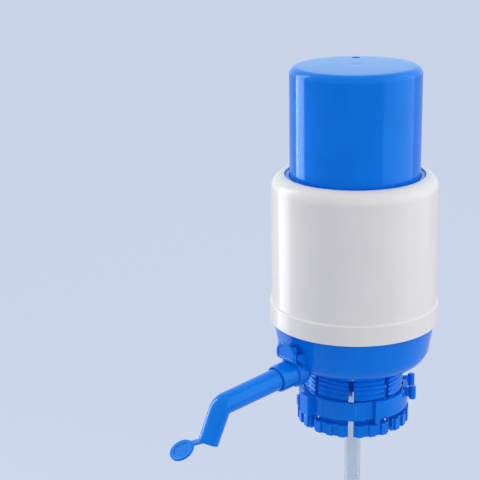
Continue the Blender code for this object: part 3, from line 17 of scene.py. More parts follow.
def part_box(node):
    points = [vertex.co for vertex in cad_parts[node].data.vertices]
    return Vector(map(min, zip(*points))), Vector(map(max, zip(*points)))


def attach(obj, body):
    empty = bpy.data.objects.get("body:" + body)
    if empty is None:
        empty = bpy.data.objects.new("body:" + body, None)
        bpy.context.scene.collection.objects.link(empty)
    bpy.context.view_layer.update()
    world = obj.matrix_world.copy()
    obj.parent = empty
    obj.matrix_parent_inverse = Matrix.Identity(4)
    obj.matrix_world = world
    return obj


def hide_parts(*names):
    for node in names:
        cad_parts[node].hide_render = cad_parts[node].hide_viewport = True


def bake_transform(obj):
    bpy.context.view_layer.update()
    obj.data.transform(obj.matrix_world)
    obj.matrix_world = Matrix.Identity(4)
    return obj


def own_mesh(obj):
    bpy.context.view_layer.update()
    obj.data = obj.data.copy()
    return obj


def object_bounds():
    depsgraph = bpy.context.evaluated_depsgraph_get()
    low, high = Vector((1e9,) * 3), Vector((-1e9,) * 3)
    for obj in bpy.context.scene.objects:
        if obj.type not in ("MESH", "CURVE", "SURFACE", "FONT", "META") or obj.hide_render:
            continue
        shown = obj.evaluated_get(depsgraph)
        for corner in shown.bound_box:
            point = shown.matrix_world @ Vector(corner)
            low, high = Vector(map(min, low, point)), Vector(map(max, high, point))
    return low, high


bl_info = {
    "name": "Water Jug Hand Pump",
    "version": (1, 0, 0),
    "blender": (4, 5, 0),
    "location": "3D View > Sidebar > Hand Pump",
    "description": "Makes the pieces of a bellows hand pump for a water jug and its stage",
    "category": "Add Mesh",
}

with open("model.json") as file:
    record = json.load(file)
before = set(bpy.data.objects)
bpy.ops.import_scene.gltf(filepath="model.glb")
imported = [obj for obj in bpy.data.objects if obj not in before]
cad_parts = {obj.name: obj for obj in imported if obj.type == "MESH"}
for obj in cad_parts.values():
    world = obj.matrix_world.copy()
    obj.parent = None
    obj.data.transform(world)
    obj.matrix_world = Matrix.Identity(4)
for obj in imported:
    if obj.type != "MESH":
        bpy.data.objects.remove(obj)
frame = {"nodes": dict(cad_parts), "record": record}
cad_low, cad_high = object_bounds()

MM = 0.001
SAME_POINT = 1e-7
TURN_STEPS = 160
SMALL_TURN_STEPS = 64
PIN_TURN_STEPS = 32
WIRE_TURN_STEPS = 10
CROWN_STEPS = 10
FILLET_STEPS = 5
EDGE_STEPS = 3
ROUND_PROFILE = 0.5
SHARP_ANGLE = math.radians(38)
RING_STEP_ANGLE = math.radians(2.5)
SIDE = Vector((1, 0, 0))
FRONT = Vector((0, -1, 0))


# Settings


def number(title, description, value, **more):
    return bpy.props.FloatProperty(name=title, description=description, default=value, **more)


def length(title, description, millimetres):
    return number(title, description, millimetres * MM, unit="LENGTH", precision=5)


def angle(title, description, degrees):
    return number(title, description, math.radians(degrees), subtype="ANGLE")


def count(title, description, total):
    return bpy.props.IntProperty(name=title, description=description, default=total, min=1)


def share(title, description, part):
    return number(title, description, part, min=0, max=1, subtype="FACTOR")


def colour(title, description, rgb):
    return bpy.props.FloatVectorProperty(
        name=title, description=description, default=rgb, subtype="COLOR", size=3, min=0, max=1
    )


class FitSettings(bpy.types.PropertyGroup):
    gap: length("Running Gap", "Space between pieces that move or are pushed together", 0.3)
    seal_gap: length("Seal Gap", "Space between a rubber seal and its seat", 0.2)
    snug: length("Snug Gap", "Space between pieces that are pressed together", 0.05)
    edge: length("Edge Round", "Round on the edges of the mouldings", 0.35)


class ShellSettings(bpy.types.PropertyGroup):
    step_in: length("Band Step", "How far the shell's body lies inside its foot band", 1.3)
    wall: length("Wall", "Thickness of the shell", 2.2)
    shoulder: length("Shoulder Round", "Radius of the round shoulder", 8.0)
    band_height: length("Band Height", "Height of the wider band at the foot", 12.6)
    band_round: length("Band Round", "Round on the band's upper edge", 1.1)
    mouth_inset: length("Mouth Inset", "From the body's outside to the edge of the mouth", 8.4)
    mouth_round: length("Mouth Round", "Round on the edge of the mouth", 0.8)
    lip_wall: length("Lip Wall", "Thickness of the lip inside the mouth", 2.0)
    lip_depth: length("Lip Depth", "Height of the lip inside the mouth", 10.5)
    ledge_level: length("Ledge Level", "Height of the inner ledge above the shell's foot", 11.4)
    ledge_depth: length("Ledge Depth", "How far the inner ledge reaches in", 5.0)
    ledge_height: length("Ledge Height", "Thickness of the inner ledge", 1.8)


class CapSettings(bpy.types.PropertyGroup):
    flange_step: length("Flange Step", "How far the hidden flange stands out", 2.2)
    flange_height: length("Flange Height", "Thickness of the hidden flange", 2.6)
    wall: length("Wall", "Thickness of the cap's side", 2.2)
    top_wall: length("Top", "Thickness of the cap's top", 2.5)
    top_round: length("Top Round", "Round on the cap's upper edge", 4.6)
    crown: length("Crown", "How far the middle of the top stands above its edge", 0.5)
    gate_radius: length("Gate Radius", "Radius of the gate mark in the middle of the top", 4.8)
    gate_depth: length("Gate Depth", "Depth of the gate mark", 0.25)
    dimple_radius: length("Dimple Radius", "Radius of the dimple beside the gate mark", 2.5)
    dimple_depth: length("Dimple Depth", "Depth of that dimple", 0.5)
    dimple_reach: length("Dimple Reach", "From the cap's axis to that dimple", 27.0)
    push_radius: length("Push Ring Radius", "Radius of the ring that pushes the bellows head", 22.0)
    push_wall: length("Push Ring Wall", "Thickness of that ring", 1.8)
    push_height: length("Push Ring Height", "Height of that ring", 4.4)
    retainer_hook: length("Retainer Hook", "Height of the retaining ring's hook", 0.8)
    retainer_step: length("Retainer Step", "How far that hook stands out", 1.3)
    retainer_round: length("Retainer Round", "Round on the retaining ring's bead", 0.56)


class BowlSettings(bpy.types.PropertyGroup):
    step_back: length("Step Back", "How far the bowl lies inside the shell's body", 0.8)
    draft: length("Draft", "How much narrower the bowl is at its foot", 2.6)
    foot_round: length("Foot Round", "Radius of the round foot", 13.0)
    wall: length("Wall", "Thickness of the bowl", 2.3)
    floor: length("Floor", "Thickness of the bowl's floor", 2.5)
    underside: length("Underside", "Height of the floor's underside above the seat", 2.6)
    shoulder: length("Shoulder", "Height of the bowl's upper edge above the seat", 30.3)
    spigot_wall: length("Spigot Wall", "Thickness of the ring inside the shell", 2.0)
    ledge_depth: length("Ledge Depth", "How far the inner ledge reaches in", 3.0)
    ledge_rise: length("Ledge Rise", "Height of the ledge above the bowl's edge", 2.7)
    ledge_wall: length("Ledge Wall", "Thickness of the inner ledge", 2.6)
    floor_hole: length("Floor Hole", "Radius of the hole that the water elbow passes", 9.0)
    air_hole: length("Air Hole", "Radius of the air holes in the floor", 2.2)
    air_circle: length("Air Hole Circle", "Radius of the circle of air holes", 16.0)
    air_holes: count("Air Holes", "Number of air holes", 4)
    gasket_bore: length("Gasket Bore", "Inner radius of the gasket that the pump rests on", 20.1)


class CollarSettings(bpy.types.PropertyGroup):
    bore: length("Bore", "Inner radius of the slotted collar", 28.0)
    wall: length("Wall", "Thickness of the collar with its thread", 3.2)
    thread_pitch: length("Thread Pitch", "Rise of the thread in one turn", 2.8)
    thread_depth: length("Thread Depth", "Height of the thread", 1.2)
    thread_rows: count("Thread Rows", "Mesh rows in one turn of the thread", 8)
    thread_shape: number("Thread Shape", "How narrow the thread's crests are beside its roots", 1.4)
    drop: length("Drop", "Height of the collar above its flange", 31.3)
    flange_step: length("Flange Step", "How far the toothed flange stands out", 2.8)
    flange_height: length("Flange Height", "Height of the toothed flange", 7.5)
    tooth_height: length("Tooth", "How far the teeth stand out", 1.2)
    tooth_count: count("Teeth", "Number of teeth on each finger", 3)
    tooth_share: share("Tooth Share", "Share of the teeth's pitch that a tooth takes", 0.5)
    flank_share: share("Flank Share", "Share of the teeth's pitch that a tooth's flank takes", 0.02)
    fingers: count("Fingers", "Number of fingers", 8)
    slot_width: length("Slot Width", "Width of the slots between the fingers", 3.3)
    slot_web: length("Slot Web", "Solid height above the slots", 1.0)
    hook_depth: length("Hook Depth", "How far the hook inside the flange reaches in", 1.4)
    hook_height: length("Hook Height", "Height of that hook", 3.6)


class SocketSettings(bpy.types.PropertyGroup):
    slope: angle("Slope", "Fall of the spout from the pump", 6.6)
    level: length("Level", "Height of the spout's axis at the pump's axis", 12.6)
    radius: length("Radius", "Outer radius of the spout's socket", 8.2)
    standoff: length("Standoff", "How far the socket's mouth lies in front of the bowl", 13.2)
    root: length("Root", "How far the socket starts inside the bowl", 8.0)
    bore: length("Bore", "Inner radius of the socket", 6.95)
    depth: length("Depth", "Depth of the socket's bore", 12.0)
    collar_step: length("Collar Step", "How far the collar at its root stands out", 1.3)
    collar_standoff: length("Collar Standoff", "Where that collar ends in front of the bowl", 1.7)
    collar_root: length("Collar Root", "How far that collar starts inside the bowl", 5.0)
    water_bore: length("Water Bore", "Radius of the water way", 4.0)
    channel_start: length("Channel Start", "Where the channel for the elbow's arm starts", 18.0)
    channel_end: length("Channel End", "Where the elbow's arm ends in it", 34.3)
    channel_bore: length("Channel Bore", "Inner radius of the channel", 5.2)
    channel_wall: length("Channel Wall", "Thickness of the channel", 1.5)


class SpoutSettings(bpy.types.PropertyGroup):
    radius: length("Radius", "Outer radius of the spout in its socket", 6.65)
    elbow_radius: length("Elbow Radius", "Outer radius at the bend's start", 6.45)
    leg_radius: length("Leg Radius", "Outer radius at the bend's end", 6.25)
    tip_radius: length("Tip Radius", "Outer radius at the tip", 6.1)
    bore: length("Bore", "Inner radius of the spout", 4.0)
    run: length("Run", "From the socket's mouth to the corner of the axis", 42.0)
    leg: length("Leg", "From that corner to the tip", 23.4)
    leg_lean: angle("Leg Lean", "How far the leg leans out from upright", 25.5)
    bend: length("Bend Radius", "Radius of the bend's axis", 6.6)
    bend_steps: count("Bend Steps", "Mesh rows round the bend", 22)


class DustCapSettings(bpy.types.PropertyGroup):
    radius: length("Radius", "Radius of the disc", 7.45)
    height: length("Thickness", "Thickness of the disc with its rim", 1.7)
    rim_width: length("Rim Width", "Width of the raised rim", 2.6)
    rim_height: length("Rim Height", "Height of the raised rim", 0.45)
    plug_radius: length("Plug Radius", "Outer radius of the plug", 3.4)
    plug_length: length("Plug Length", "Length of the plug", 2.8)
    plug_wall: length("Plug Wall", "Thickness of the plug", 1.0)
    strap_width: length("Strap Width", "Width of the strap", 5.0)
    strap_thickness: length("Strap Thickness", "Thickness of the strap", 1.5)
    pivot_out: length("Pivot Out", "From the tip's axis to the line where the strap bends", 10.2)
    pivot_up: length("Pivot Up", "How far that line lies above the tip", 0.6)
    root_up: length("Root Up", "How far the strap's root lies above the tip", 0.7)
    open_angle: angle("Open Angle", "How far the cap hangs open", 125)
    strap_sag: length("Strap Sag", "How far the strap hangs below the line where it bends", 1.6)
    strap_rows: count("Strap Rows", "Mesh rows along the strap", 24)


class LeverSettings(bpy.types.PropertyGroup):
    pin_standoff: length("Pin Standoff", "How far the pin lies in front of the bowl", 1.6)
    pin_level: length("Pin Level", "Height of the pin above the seat", 18.6)
    pin_radius: length("Pin Radius", "Radius of the pin", 0.75)
    plate_standoff: length("Plate Standoff", "From the pin to the plate's front", 3.6)
    plate_bottom: length("Plate Bottom", "Height of the plate's foot above the seat", 15.2)
    plate_radius: length("Plate Radius", "Radius of the plate's round top", 8.6)
    plate_straight: length("Plate Straight", "Height of the plate's straight sides", 3.1)
    plate_cut: angle("Plate Cut", "How far round the plate's sides its round top ends", 6)
    plate_thickness: length("Plate Thickness", "Thickness of the plate", 1.6)
    rim: length("Plate Rim", "Width of the rim round the plate's dish", 1.3)
    dish: length("Dish", "Depth of the plate's dish", 0.45)
    barrel_radius: length("Barrel Radius", "Radius of the barrel on the pin", 1.6)
    half_width: length("Half Width", "Half the width of the barrel", 6.8)
    cheek_thickness: length("Cheek", "Thickness of the two cheeks", 1.5)
    cheek_rise: length("Cheek Rise", "Height of the cheeks above the pin", 6.4)
    cheek_inset: length("Cheek Inset", "How far the cheeks lie inside the barrel's ends", 0.2)
    nose_radius: length("Nose Radius", "Radius of the nose that pushes the valve", 1.5)
    ear_thickness: length("Ear", "Thickness of the ears on the bowl", 1.6)
    ear_radius: length("Ear Radius", "Radius of the ears round the pin", 1.9)
    ear_depth: length("Ear Depth", "How far the ears reach down the bowl", 5.2)
    vent_rise: length("Vent Rise", "Height of the vent above the pin", 5.0)
    stem_radius: length("Stem Radius", "Radius of the vent valve's stem", 1.3)
    stem_setback: length("Stem Setback", "How far the stem's end lies behind the pin", 0.3)
    head_radius: length("Head Radius", "Radius of the vent valve's head", 3.7)
    head_thickness: length("Head Thickness", "Thickness of that head", 1.6)
    seat_depth: length("Seat Depth", "How far the vent's seat lies inside the bowl", 5.3)


class RingSettings(bpy.types.PropertyGroup):
    top: length("Top", "Height of the ring's upper edge from the seat", -13.8)
    height: length("Height", "Height of the ring", 12.0)
    bore_gap: length("Bore Gap", "Space between the ring and the collar", 0.3)
    hollow_wall: length("Hollow Wall", "Thickness of the ring in its hollow", 0.6)
    window_wall: length("Window Wall", "Thickness of the ring in its ribbed window", 1.8)
    band_wall: length("Band Wall", "Thickness of the ring's raised band", 2.9)
    hollow_from: angle("Hollow From", "Where the hollow starts", 61)
    band_from: angle("Band From", "Where the raised band starts", 71.3)
    blend: angle("Blend", "Angle over which one radius runs into the next", 0.9)
    rib_first: angle("First Rib", "Where the first rib starts", 6.4)
    rib_pitch: angle("Rib Pitch", "Angle from rib to rib", 18.3)
    rib_span: angle("Rib Span", "Angle that a rib covers", 7.7)
    ribs: count("Ribs", "Number of ribs", 3)
    rib_height: length("Rib Height", "How far the ribs stand out", 0.45)
    block_angle: angle("Block Angle", "Where the end block stands", -6)
    block_width: length("Block Width", "Width of the end block", 8.5)
    block_step: length("Block Step", "How far the block stands out from the band", 3.6)
    tab_angle: angle("Tab Angle", "Where the tab beside the block stands", -18)
    tab_width: length("Tab Width", "Width of that tab", 3.0)
    tab_height: length("Tab Height", "Height of that tab", 6.5)
    tab_step: length("Tab Step", "How far that tab stands out from the band", 3.7)
    lugs: count("Lugs", "Number of finger lugs", 7)
    lug_first: angle("First Lug", "Where the first lug stands", 122)
    lug_pitch: angle("Lug Pitch", "Angle from lug to lug", 30)
    lug_step: length("Lug Step", "How far the lugs stand out from the band", 6.0)
    lug_height: length("Lug Height", "Height of the lugs", 8.5)
    lug_rise: length("Lug Rise", "How far the lugs stand above the ring", 2.3)
    lug_web: length("Lug Web", "Thickness of the lugs' webs", 2.0)
    lug_bead: length("Lug Bead", "Radius of the beads on the lugs' edges", 2.2)
    pawl_width: length("Pawl Width", "Width of the pawl at the band's start", 2.6)
    pawl_drop: length("Pawl Drop", "How far the pawl hangs below the ring", 2.4)
    notch_angle: angle("Notch Angle", "Where the notch in the ring's foot lies", 81)
    notch_width: length("Notch Width", "Width of that notch", 3.0)
    notch_height: length("Notch Height", "Height of that notch", 1.6)


class TubeSettings(bpy.types.PropertyGroup):
    radius: length("Radius", "Outer radius of the dip tube", 5.0)
    wall: length("Wall", "Thickness of the dip tube", 1.5)
    coupler_wall: length("Coupler Wall", "Thickness of the coupler", 1.6)
    grip_ribs: count("Grip Ribs", "Number of ribs on the coupler", 5)
    grip_share: share("Grip Share", "Share of the coupler's height that its ribs take", 1 / 3)
    rib_height: length("Rib Height", "Height of those ribs", 0.35)
    stop: length("Stop", "Height of the stop inside the coupler", 1.6)
    foot_wall: length("Foot Wall", "Thickness of the foot", 2.2)
    foot_flare: length("Foot Flare", "How much wider the foot is at its end", 2.4)
    foot_notch_width: length("Foot Notch Width", "Width of the notches in the foot", 6.0)
    foot_notch_height: length("Foot Notch Height", "Height of the foot's wide end", 7.0)
    socket_depth: length("Socket Depth", "How deep the tube sits in its sockets", 12.0)
    riser_radius: length("Riser Radius", "Outer radius of the elbow's riser", 7.0)
    riser_drop: length("Riser Drop", "How far the riser hangs below the seat", 18.0)
    dome_share: share("Dome Share", "Share of the riser's radius that its top's round takes", 0.9)
    arm_radius: length("Arm Radius", "Outer radius of the elbow's arm", 4.9)
    arm_reach: length("Arm Reach", "Where the elbow's arm ends", 34.0)
    water_bore: length("Water Bore", "Radius of the elbow's water way", 3.3)


class BellowsSettings(bpy.types.PropertyGroup):
    clearance: length("Clearance", "Space between the pleats and the cap", 1.9)
    pleat: length("Pleat Depth", "Depth of the pleats", 6.6)
    wall: length("Wall", "Thickness of the rubber", 1.2)
    pleats: count("Pleats", "Number of pleats", 8)
    pleat_steps: count("Pleat Steps", "Mesh rows in one pleat", 10)
    neck: length("Neck", "Plain height at both ends", 4.0)
    flange: length("Flange", "Thickness of the clamped flange", 1.8)
    spring_radius: length("Spring Radius", "Radius of the spring's coils", 18.0)
    wire: length("Wire Radius", "Radius of the spring's wire", 1.0)
    turns: count("Turns", "Number of the spring's turns", 8)
    turn_steps: count("Turn Steps", "Mesh rows in one turn", 28)
    end_ease: share("End Ease", "How much flatter the end turns lie", 0.7)


class FinishSettings(bpy.types.PropertyGroup):
    blue: colour("Blue", "Colour of the blue mouldings", (0.0, 0.18, 0.80))
    blue_tint: colour("Blue Tint", "Tint of the reflections in the blue mouldings", (0.3, 0.9, 1.0))
    blue_rough: share("Blue Roughness", "Roughness of the blue mouldings", 0.115)
    blue_spread: share("Blue Spread", "Change of tone in the blue mouldings", 0.05)
    white: colour("White", "Colour of the white mouldings", (0.83, 0.79, 0.76))
    white_rough: share("White Roughness", "Roughness of the white mouldings", 0.23)
    white_spread: share("White Spread", "Change of tone in the white mouldings", 0.012)
    natural: colour("Natural", "Colour of the uncoloured tube", (0.84, 0.89, 0.92))
    natural_rough: share("Natural Roughness", "Roughness of the uncoloured tube", 0.1)
    natural_spread: share("Natural Spread", "Change of tone in the uncoloured tube", 0.02)
    natural_clear: share("Natural Clearness", "How clear the uncoloured tube is", 0.93)
    rubber: colour("Rubber", "Colour of the pale rubber", (0.70, 0.71, 0.70))
    rubber_rough: share("Rubber Roughness", "Roughness of the pale rubber", 0.55)
    rubber_spread: share("Rubber Spread", "Change of tone in the pale rubber", 0.03)
    rubber_sheen: share("Rubber Sheen", "Sheen of the pale rubber", 0.15)
    dark: colour("Dark Rubber", "Colour of the dark rubber", (0.02, 0.03, 0.05))
    dark_rough: share("Dark Roughness", "Roughness of the dark rubber", 0.5)
    dark_spread: share("Dark Spread", "Change of tone in the dark rubber", 0.1)
    dark_sheen: share("Dark Sheen", "Sheen of the dark rubber", 0.1)
    steel: colour("Steel", "Colour of the spring's wire", (0.62, 0.63, 0.65))
    steel_rough: share("Steel Roughness", "Roughness of the spring's wire", 0.26)
    steel_spread: share("Steel Spread", "Change of tone in the spring's wire", 0.08)
    steel_ripple: length("Steel Ripple", "Height of the slow waves in the wire", 0.01)
    steel_grain: length("Steel Grain", "Height of the fine grain in the wire", 0.003)
    ripple: length("Ripple", "Height of the slow waves in the moulded surfaces", 0.012)
    grain: length("Grain", "Height of the fine grain in the moulded surfaces", 0.0002)


class LampSettings(bpy.types.PropertyGroup):
    key_turn: angle("Key Turn", "Where the key lamp stands, from the camera's side", -106)
    key_reach: length("Key Reach", "From the pump's axis to the key lamp", 720)
    key_width: length("Key Width", "Width of the key lamp", 228)
    key_height: length("Key Height", "Height of the key lamp", 1050)
    key_glow: number("Key Glow", "Brightness of the key lamp's surface", 3.0)
    slit_turn: angle("Slit Turn", "Where the narrow lamp beside the key lamp stands", -118.5)
    slit_reach: length("Slit Reach", "From the pump's axis to the narrow lamp", 720)
    slit_width: length("Slit Width", "Width of the narrow lamp", 58)
    slit_height: length("Slit Height", "Height of the narrow lamp", 700)
    slit_glow: number("Slit Glow", "Brightness of the narrow lamp's surface", 6.0)
    fill_turn: angle("Fill Turn", "Where the wide fill lamp stands, from the camera's side", 83)
    fill_reach: length("Fill Reach", "From the pump's axis to the fill lamp", 900)
    fill_width: length("Fill Width", "Width of the fill lamp", 1250)
    fill_height: length("Fill Height", "Height of the fill lamp", 1500)
    fill_glow: number("Fill Glow", "Brightness of the fill lamp's surface", 0.75)
    floor_gap: length("Floor Gap", "How far the lamps stay above the floor", 20)


class StageSettings(bpy.types.PropertyGroup):
    floor_colour: colour("Floor", "Colour of the floor", (0.50, 0.55, 0.65))
    floor_glow: colour("Floor Seen", "Tone of the floor as the camera sees it", (0.62, 0.69, 0.85))
    floor_rough: share("Floor Roughness", "Roughness of the floor", 0.9)
    glow_share: share("Glow Share", "Share of that tone in the floor that the camera sees", 0.85)
    gloss_share: share("Gloss Share", "Share of that tone in the floor's reflections", 0.05)
    sky_colour: colour("Sky", "Colour of the light from all round", (0.95, 0.97, 1.0))
    sky_strength: number("Sky Strength", "Strength of the light from all round", 0.85)
    sky_seen: colour("Sky Seen", "Tone of the sky as the camera sees it", (0.59, 0.66, 0.81))
    sky_gloss: colour("Sky In Gloss", "Tone of the sky in the gloss of the pieces", (0.70, 0.94, 1.0))
    lens: number("Lens", "Focal length of the camera", 95.57, subtype="DISTANCE_CAMERA")
    sensor: number("Sensor", "Width of the camera's sensor", 36, subtype="DISTANCE_CAMERA")
    distance: length("Distance", "From the pump's axis to the camera", 748.1)
    camera_level: length("Camera Level", "Height of the camera above the seat", 309.1)
    azimuth: angle("Azimuth", "Where the camera stands round the pump, from the spout", 47)
    yaw: angle("Yaw", "How far the camera looks past the axis", -5.36)
    pitch: angle("Pitch", "How far the camera looks down", 17)
    roll: angle("Roll", "How far the camera is tipped", -1.05)
    floor_reach: length("Floor Reach", "From the pump's axis to the floor's edges", 6000)


GROUPS = {
    "fit": FitSettings,
    "shell": ShellSettings,
    "cap": CapSettings,
    "bowl": BowlSettings,
    "collar": CollarSettings,
    "socket": SocketSettings,
    "spout": SpoutSettings,
    "dust_cap": DustCapSettings,
    "lever": LeverSettings,
    "ring": RingSettings,
    "tube": TubeSettings,
    "bellows": BellowsSettings,
    "finish": FinishSettings,
    "lamps": LampSettings,
    "stage": StageSettings,
}
PREFIX = "hand_pump_"


def setting(group):
    return getattr(bpy.context.scene, PREFIX + group)


# Finishes

CLOUD_SCALE, CLOUD_DETAIL = 45.0, 3.0
CLOUD_SHARES = (0.35, 0.65)
RUB_SCALE, RUB_DETAIL = 160.0, 2.0
RUB_LOW_SHARE, RUB_HIGH_SHARE = 0.9, 1.12
RIPPLE_SCALE, RIPPLE_DETAIL = 38.0, 1.0
GRAIN_SCALE, GRAIN_DETAIL = 1900.0, 2.0
PLASTIC_IOR = 1.5


def put(tree, socket, value):
    """Sets an input, or links it where the value is another node's output."""
    if isinstance(value, bpy.types.NodeSocket):
        tree.links.new(value, socket)
    else:
        socket.default_value = value


def node(tree, kind, **inputs):
    """A shader node with its inputs set or linked."""
    made = tree.nodes.new(kind)
    for key, value in inputs.items():
        put(tree, made.inputs[key.replace("_", " ").title()], value)
    return made


def noise(tree, place, scale, detail):
    return node(tree, "ShaderNodeTexNoise", vector=place, scale=scale, detail=detail).outputs[0]


def cloudy(tree, place, tone, spread):
    """A tone that changes slowly to a little darker and a little lighter."""
    made = tree.nodes.new("ShaderNodeValToRGB")
    tree.links.new(noise(tree, place, CLOUD_SCALE, CLOUD_DETAIL), made.inputs[0])
    for element, at, factor in zip(made.color_ramp.elements, CLOUD_SHARES, (1 - spread, 1 + spread)):
        element.position = at
        element.color = (*(min(1.0, channel * factor) for channel in tone), 1.0)
    return made.outputs[0]


def bump(tree, height, distance, **more):
    return node(tree, "ShaderNodeBump", height=height, distance=distance, strength=1.0, **more).outputs[0]


def grained(name, tone, roughness, spread, ripple, grain, **extras):
    """A finish with slow ripples, fine grain and small changes of colour and gloss."""
    if name in bpy.data.materials:
        return bpy.data.materials[name]
    material = bpy.data.materials.new(name)
    material.use_nodes = True
    material.diffuse_color = (*tone, 1.0)
    tree = material.node_tree
    place = tree.nodes.new("ShaderNodeTexCoord").outputs["Object"]
    rub = noise(tree, place, RUB_SCALE, RUB_DETAIL)
    ends = {"to_min": roughness * RUB_LOW_SHARE, "to_max": roughness * RUB_HIGH_SHARE}
    slow = bump(tree, noise(tree, place, RIPPLE_SCALE, RIPPLE_DETAIL), ripple)
    inputs = {
        "Base Color": cloudy(tree, place, tone, spread),
        "Roughness": node(tree, "ShaderNodeMapRange", value=rub, **ends).outputs[0],
        "Normal": bump(tree, noise(tree, place, GRAIN_SCALE, GRAIN_DETAIL), grain, normal=slow),
        "IOR": PLASTIC_IOR,
        **extras,
    }
    for key, value in inputs.items():
        put(tree, tree.nodes["Principled BSDF"].inputs[key], value)
    return material


def finish(slot):
    """The finish of one of the record's material slots."""
    tones = setting("finish")
    fine = (tones.ripple, tones.grain)
    wire = (tones.steel_ripple, tones.steel_grain)
    looks = {
        "blue_plastic": ("blue", fine, {"Specular Tint": (*tones.blue_tint, 1.0)}),
        "white_plastic": ("white", fine, {}),
        "natural_plastic": ("natural", fine, {"Transmission Weight": tones.natural_clear}),
        "white_rubber": ("rubber", fine, {"Sheen Weight": tones.rubber_sheen}),
        "dark_rubber": ("dark", fine, {"Sheen Weight": tones.dark_sheen}),
        "steel": ("steel", wire, {"Metallic": 1.0}),
    }
    key, heights, extras = looks[slot]
    look = [getattr(tones, key + part) for part in ("", "_rough", "_spread")]
    return grained(slot + "_finish", *look, *heights, **extras)


# Mesh helpers


def mesh_object(name, verts, faces):
    """A mesh object with outward normals, smooth apart from its sharp edges."""
    mesh = bpy.data.meshes.new(name)
    mesh.from_pydata([tuple(vert) for vert in verts], [], faces)
    return settle(name, mesh)


def settle(name, mesh):
    """A mesh's object, once its doubled corners are joined and its faces turned outward."""
    shape = bmesh.new()
    shape.from_mesh(mesh)
    bmesh.ops.remove_doubles(shape, verts=shape.verts, dist=SAME_POINT)
    bmesh.ops.recalc_face_normals(shape, faces=shape.faces)
    shape.to_mesh(mesh)
    shape.free()
    return linked(name, mesh)


def linked(name, mesh):
    """A mesh's object in the scene, with the mesh smooth apart from its sharp edges."""
    mesh.shade_smooth()
    mesh.set_sharp_from_angle(angle=SHARP_ANGLE)
    made = bpy.data.objects.new(name, mesh)
    bpy.context.scene.collection.objects.link(made)
    return made


def joined(name, pieces):
    """One object from several, which are removed."""
    shape = bmesh.new()
    for piece in pieces:
        shape.from_mesh(piece.data)
    mesh = bpy.data.meshes.new(name)
    shape.to_mesh(mesh)
    shape.free()
    for piece in pieces:
        bpy.data.objects.remove(piece)
    return linked(name, mesh)


def cut(target, cutter):
    """Takes the cutter's space out of the target."""
    modifier = target.modifiers.new("cut", "BOOLEAN")
    modifier.object = cutter
    bpy.context.view_layer.update()
    graph = bpy.context.evaluated_depsgraph_get()
    mesh = bpy.data.meshes.new_from_object(target.evaluated_get(graph))
    name = target.name
    bpy.data.objects.remove(cutter)
    bpy.data.objects.remove(target)
    return settle(name, mesh)


def arc(centre_r, centre_z, radius, start, end, steps=FILLET_STEPS):
    """Points of an arc in a profile's plane, from one angle to another, in degrees."""
    points = []
    for i in range(steps + 1):
        turn = math.radians(start + (end - start) * i / steps)
        across, up = radius * math.cos(turn), radius * math.sin(turn)
        points.append((centre_r + across, centre_z + up))
    return points


def rounded(corners, closed=True, steps=FILLET_STEPS):
    """A profile from corners of (radius, height, fillet)."""
    points = []
    total = len(corners)
    for i, (radius, height, fillet) in enumerate(corners):
        at_end = not closed and i in (0, total - 1)
        if not fillet or at_end:
            points.append((radius, height))
            continue
        here = Vector((radius, height))
        back = (Vector(corners[i - 1][:2]) - here).normalized()
        on = (Vector(corners[(i + 1) % total][:2]) - here).normalized()
        half = back.angle(on) / 2
        centre = here + (back + on).normalized() * fillet / math.sin(half)
        start = here + back * fillet / math.tan(half) - centre
        end = here + on * fillet / math.tan(half) - centre
        first = math.atan2(start.y, start.x)
        turn = (math.atan2(end.y, end.x) - first + math.pi) % math.tau - math.pi
        for k in range(steps + 1):
            at = first + turn * k / steps
            points.append((centre.x + fillet * math.cos(at), centre.y + fillet * math.sin(at)))
    return points


def lathe(name, profile, steps=TURN_STEPS, closed=True, place=None):
    """A turned solid from a profile of (radius, height)."""
    verts, faces, rows = [], [], []
    for radius, height in profile:
        first = len(verts)
        if radius < SAME_POINT:
            verts.append(Vector((0, 0, height)))
            rows.append([first])
            continue
        for i in range(steps):
            turn = math.tau * i / steps
            verts.append(Vector((radius * math.cos(turn), radius * math.sin(turn), height)))
        rows.append(range(first, first + steps))
    pairs = list(zip(rows, rows[1:]))
    if closed:
        pairs.append((rows[-1], rows[0]))
    for upper, lower in pairs:
        for i in range(steps):
            j = (i + 1) % steps
            ring = ((upper, i), (lower, i), (lower, j), (upper, j))
            corners = list(dict.fromkeys(row[k % len(row)] for row, k in ring))
            if len(corners) > 2:
                faces.append(corners)
    made = mesh_object(name, verts, faces)
    if place is not None:
        made.data.transform(place)
    return made


def loft(name, sections, cyclic=False):
    """A skin over closed sections of equal length, with flat ends unless it runs round."""
    size = len(sections[0])
    verts = [point for section in sections for point in section]
    faces = []
    spans = len(sections) if cyclic else len(sections) - 1
    for s in range(spans):
        here, there = s * size, (s + 1) % len(sections) * size
        for i in range(size):
            j = (i + 1) % size
            faces.append((here + i, here + j, there + j, there + i))
    if not cyclic:
        faces.append(tuple(range(size)))
        faces.append(tuple(range(len(verts) - size, len(verts))))
    return mesh_object(name, verts, faces)


def around(turn, radius, height=0.0):
    """A point at an angle round the pump's axis, counted from the spout towards +X."""
    return Vector((radius * math.sin(turn), -radius * math.cos(turn), height))


def bevelled(name, shape, edges, edge):
    """An object from a shape with some of its edges rounded."""
    look = {"segments": EDGE_STEPS, "profile": ROUND_PROFILE, "affect": "EDGES"}
    bmesh.ops.bevel(shape, geom=edges, offset=edge, **look)
    mesh = bpy.data.meshes.new(name)
    shape.to_mesh(mesh)
    shape.free()
    return settle(name, mesh)


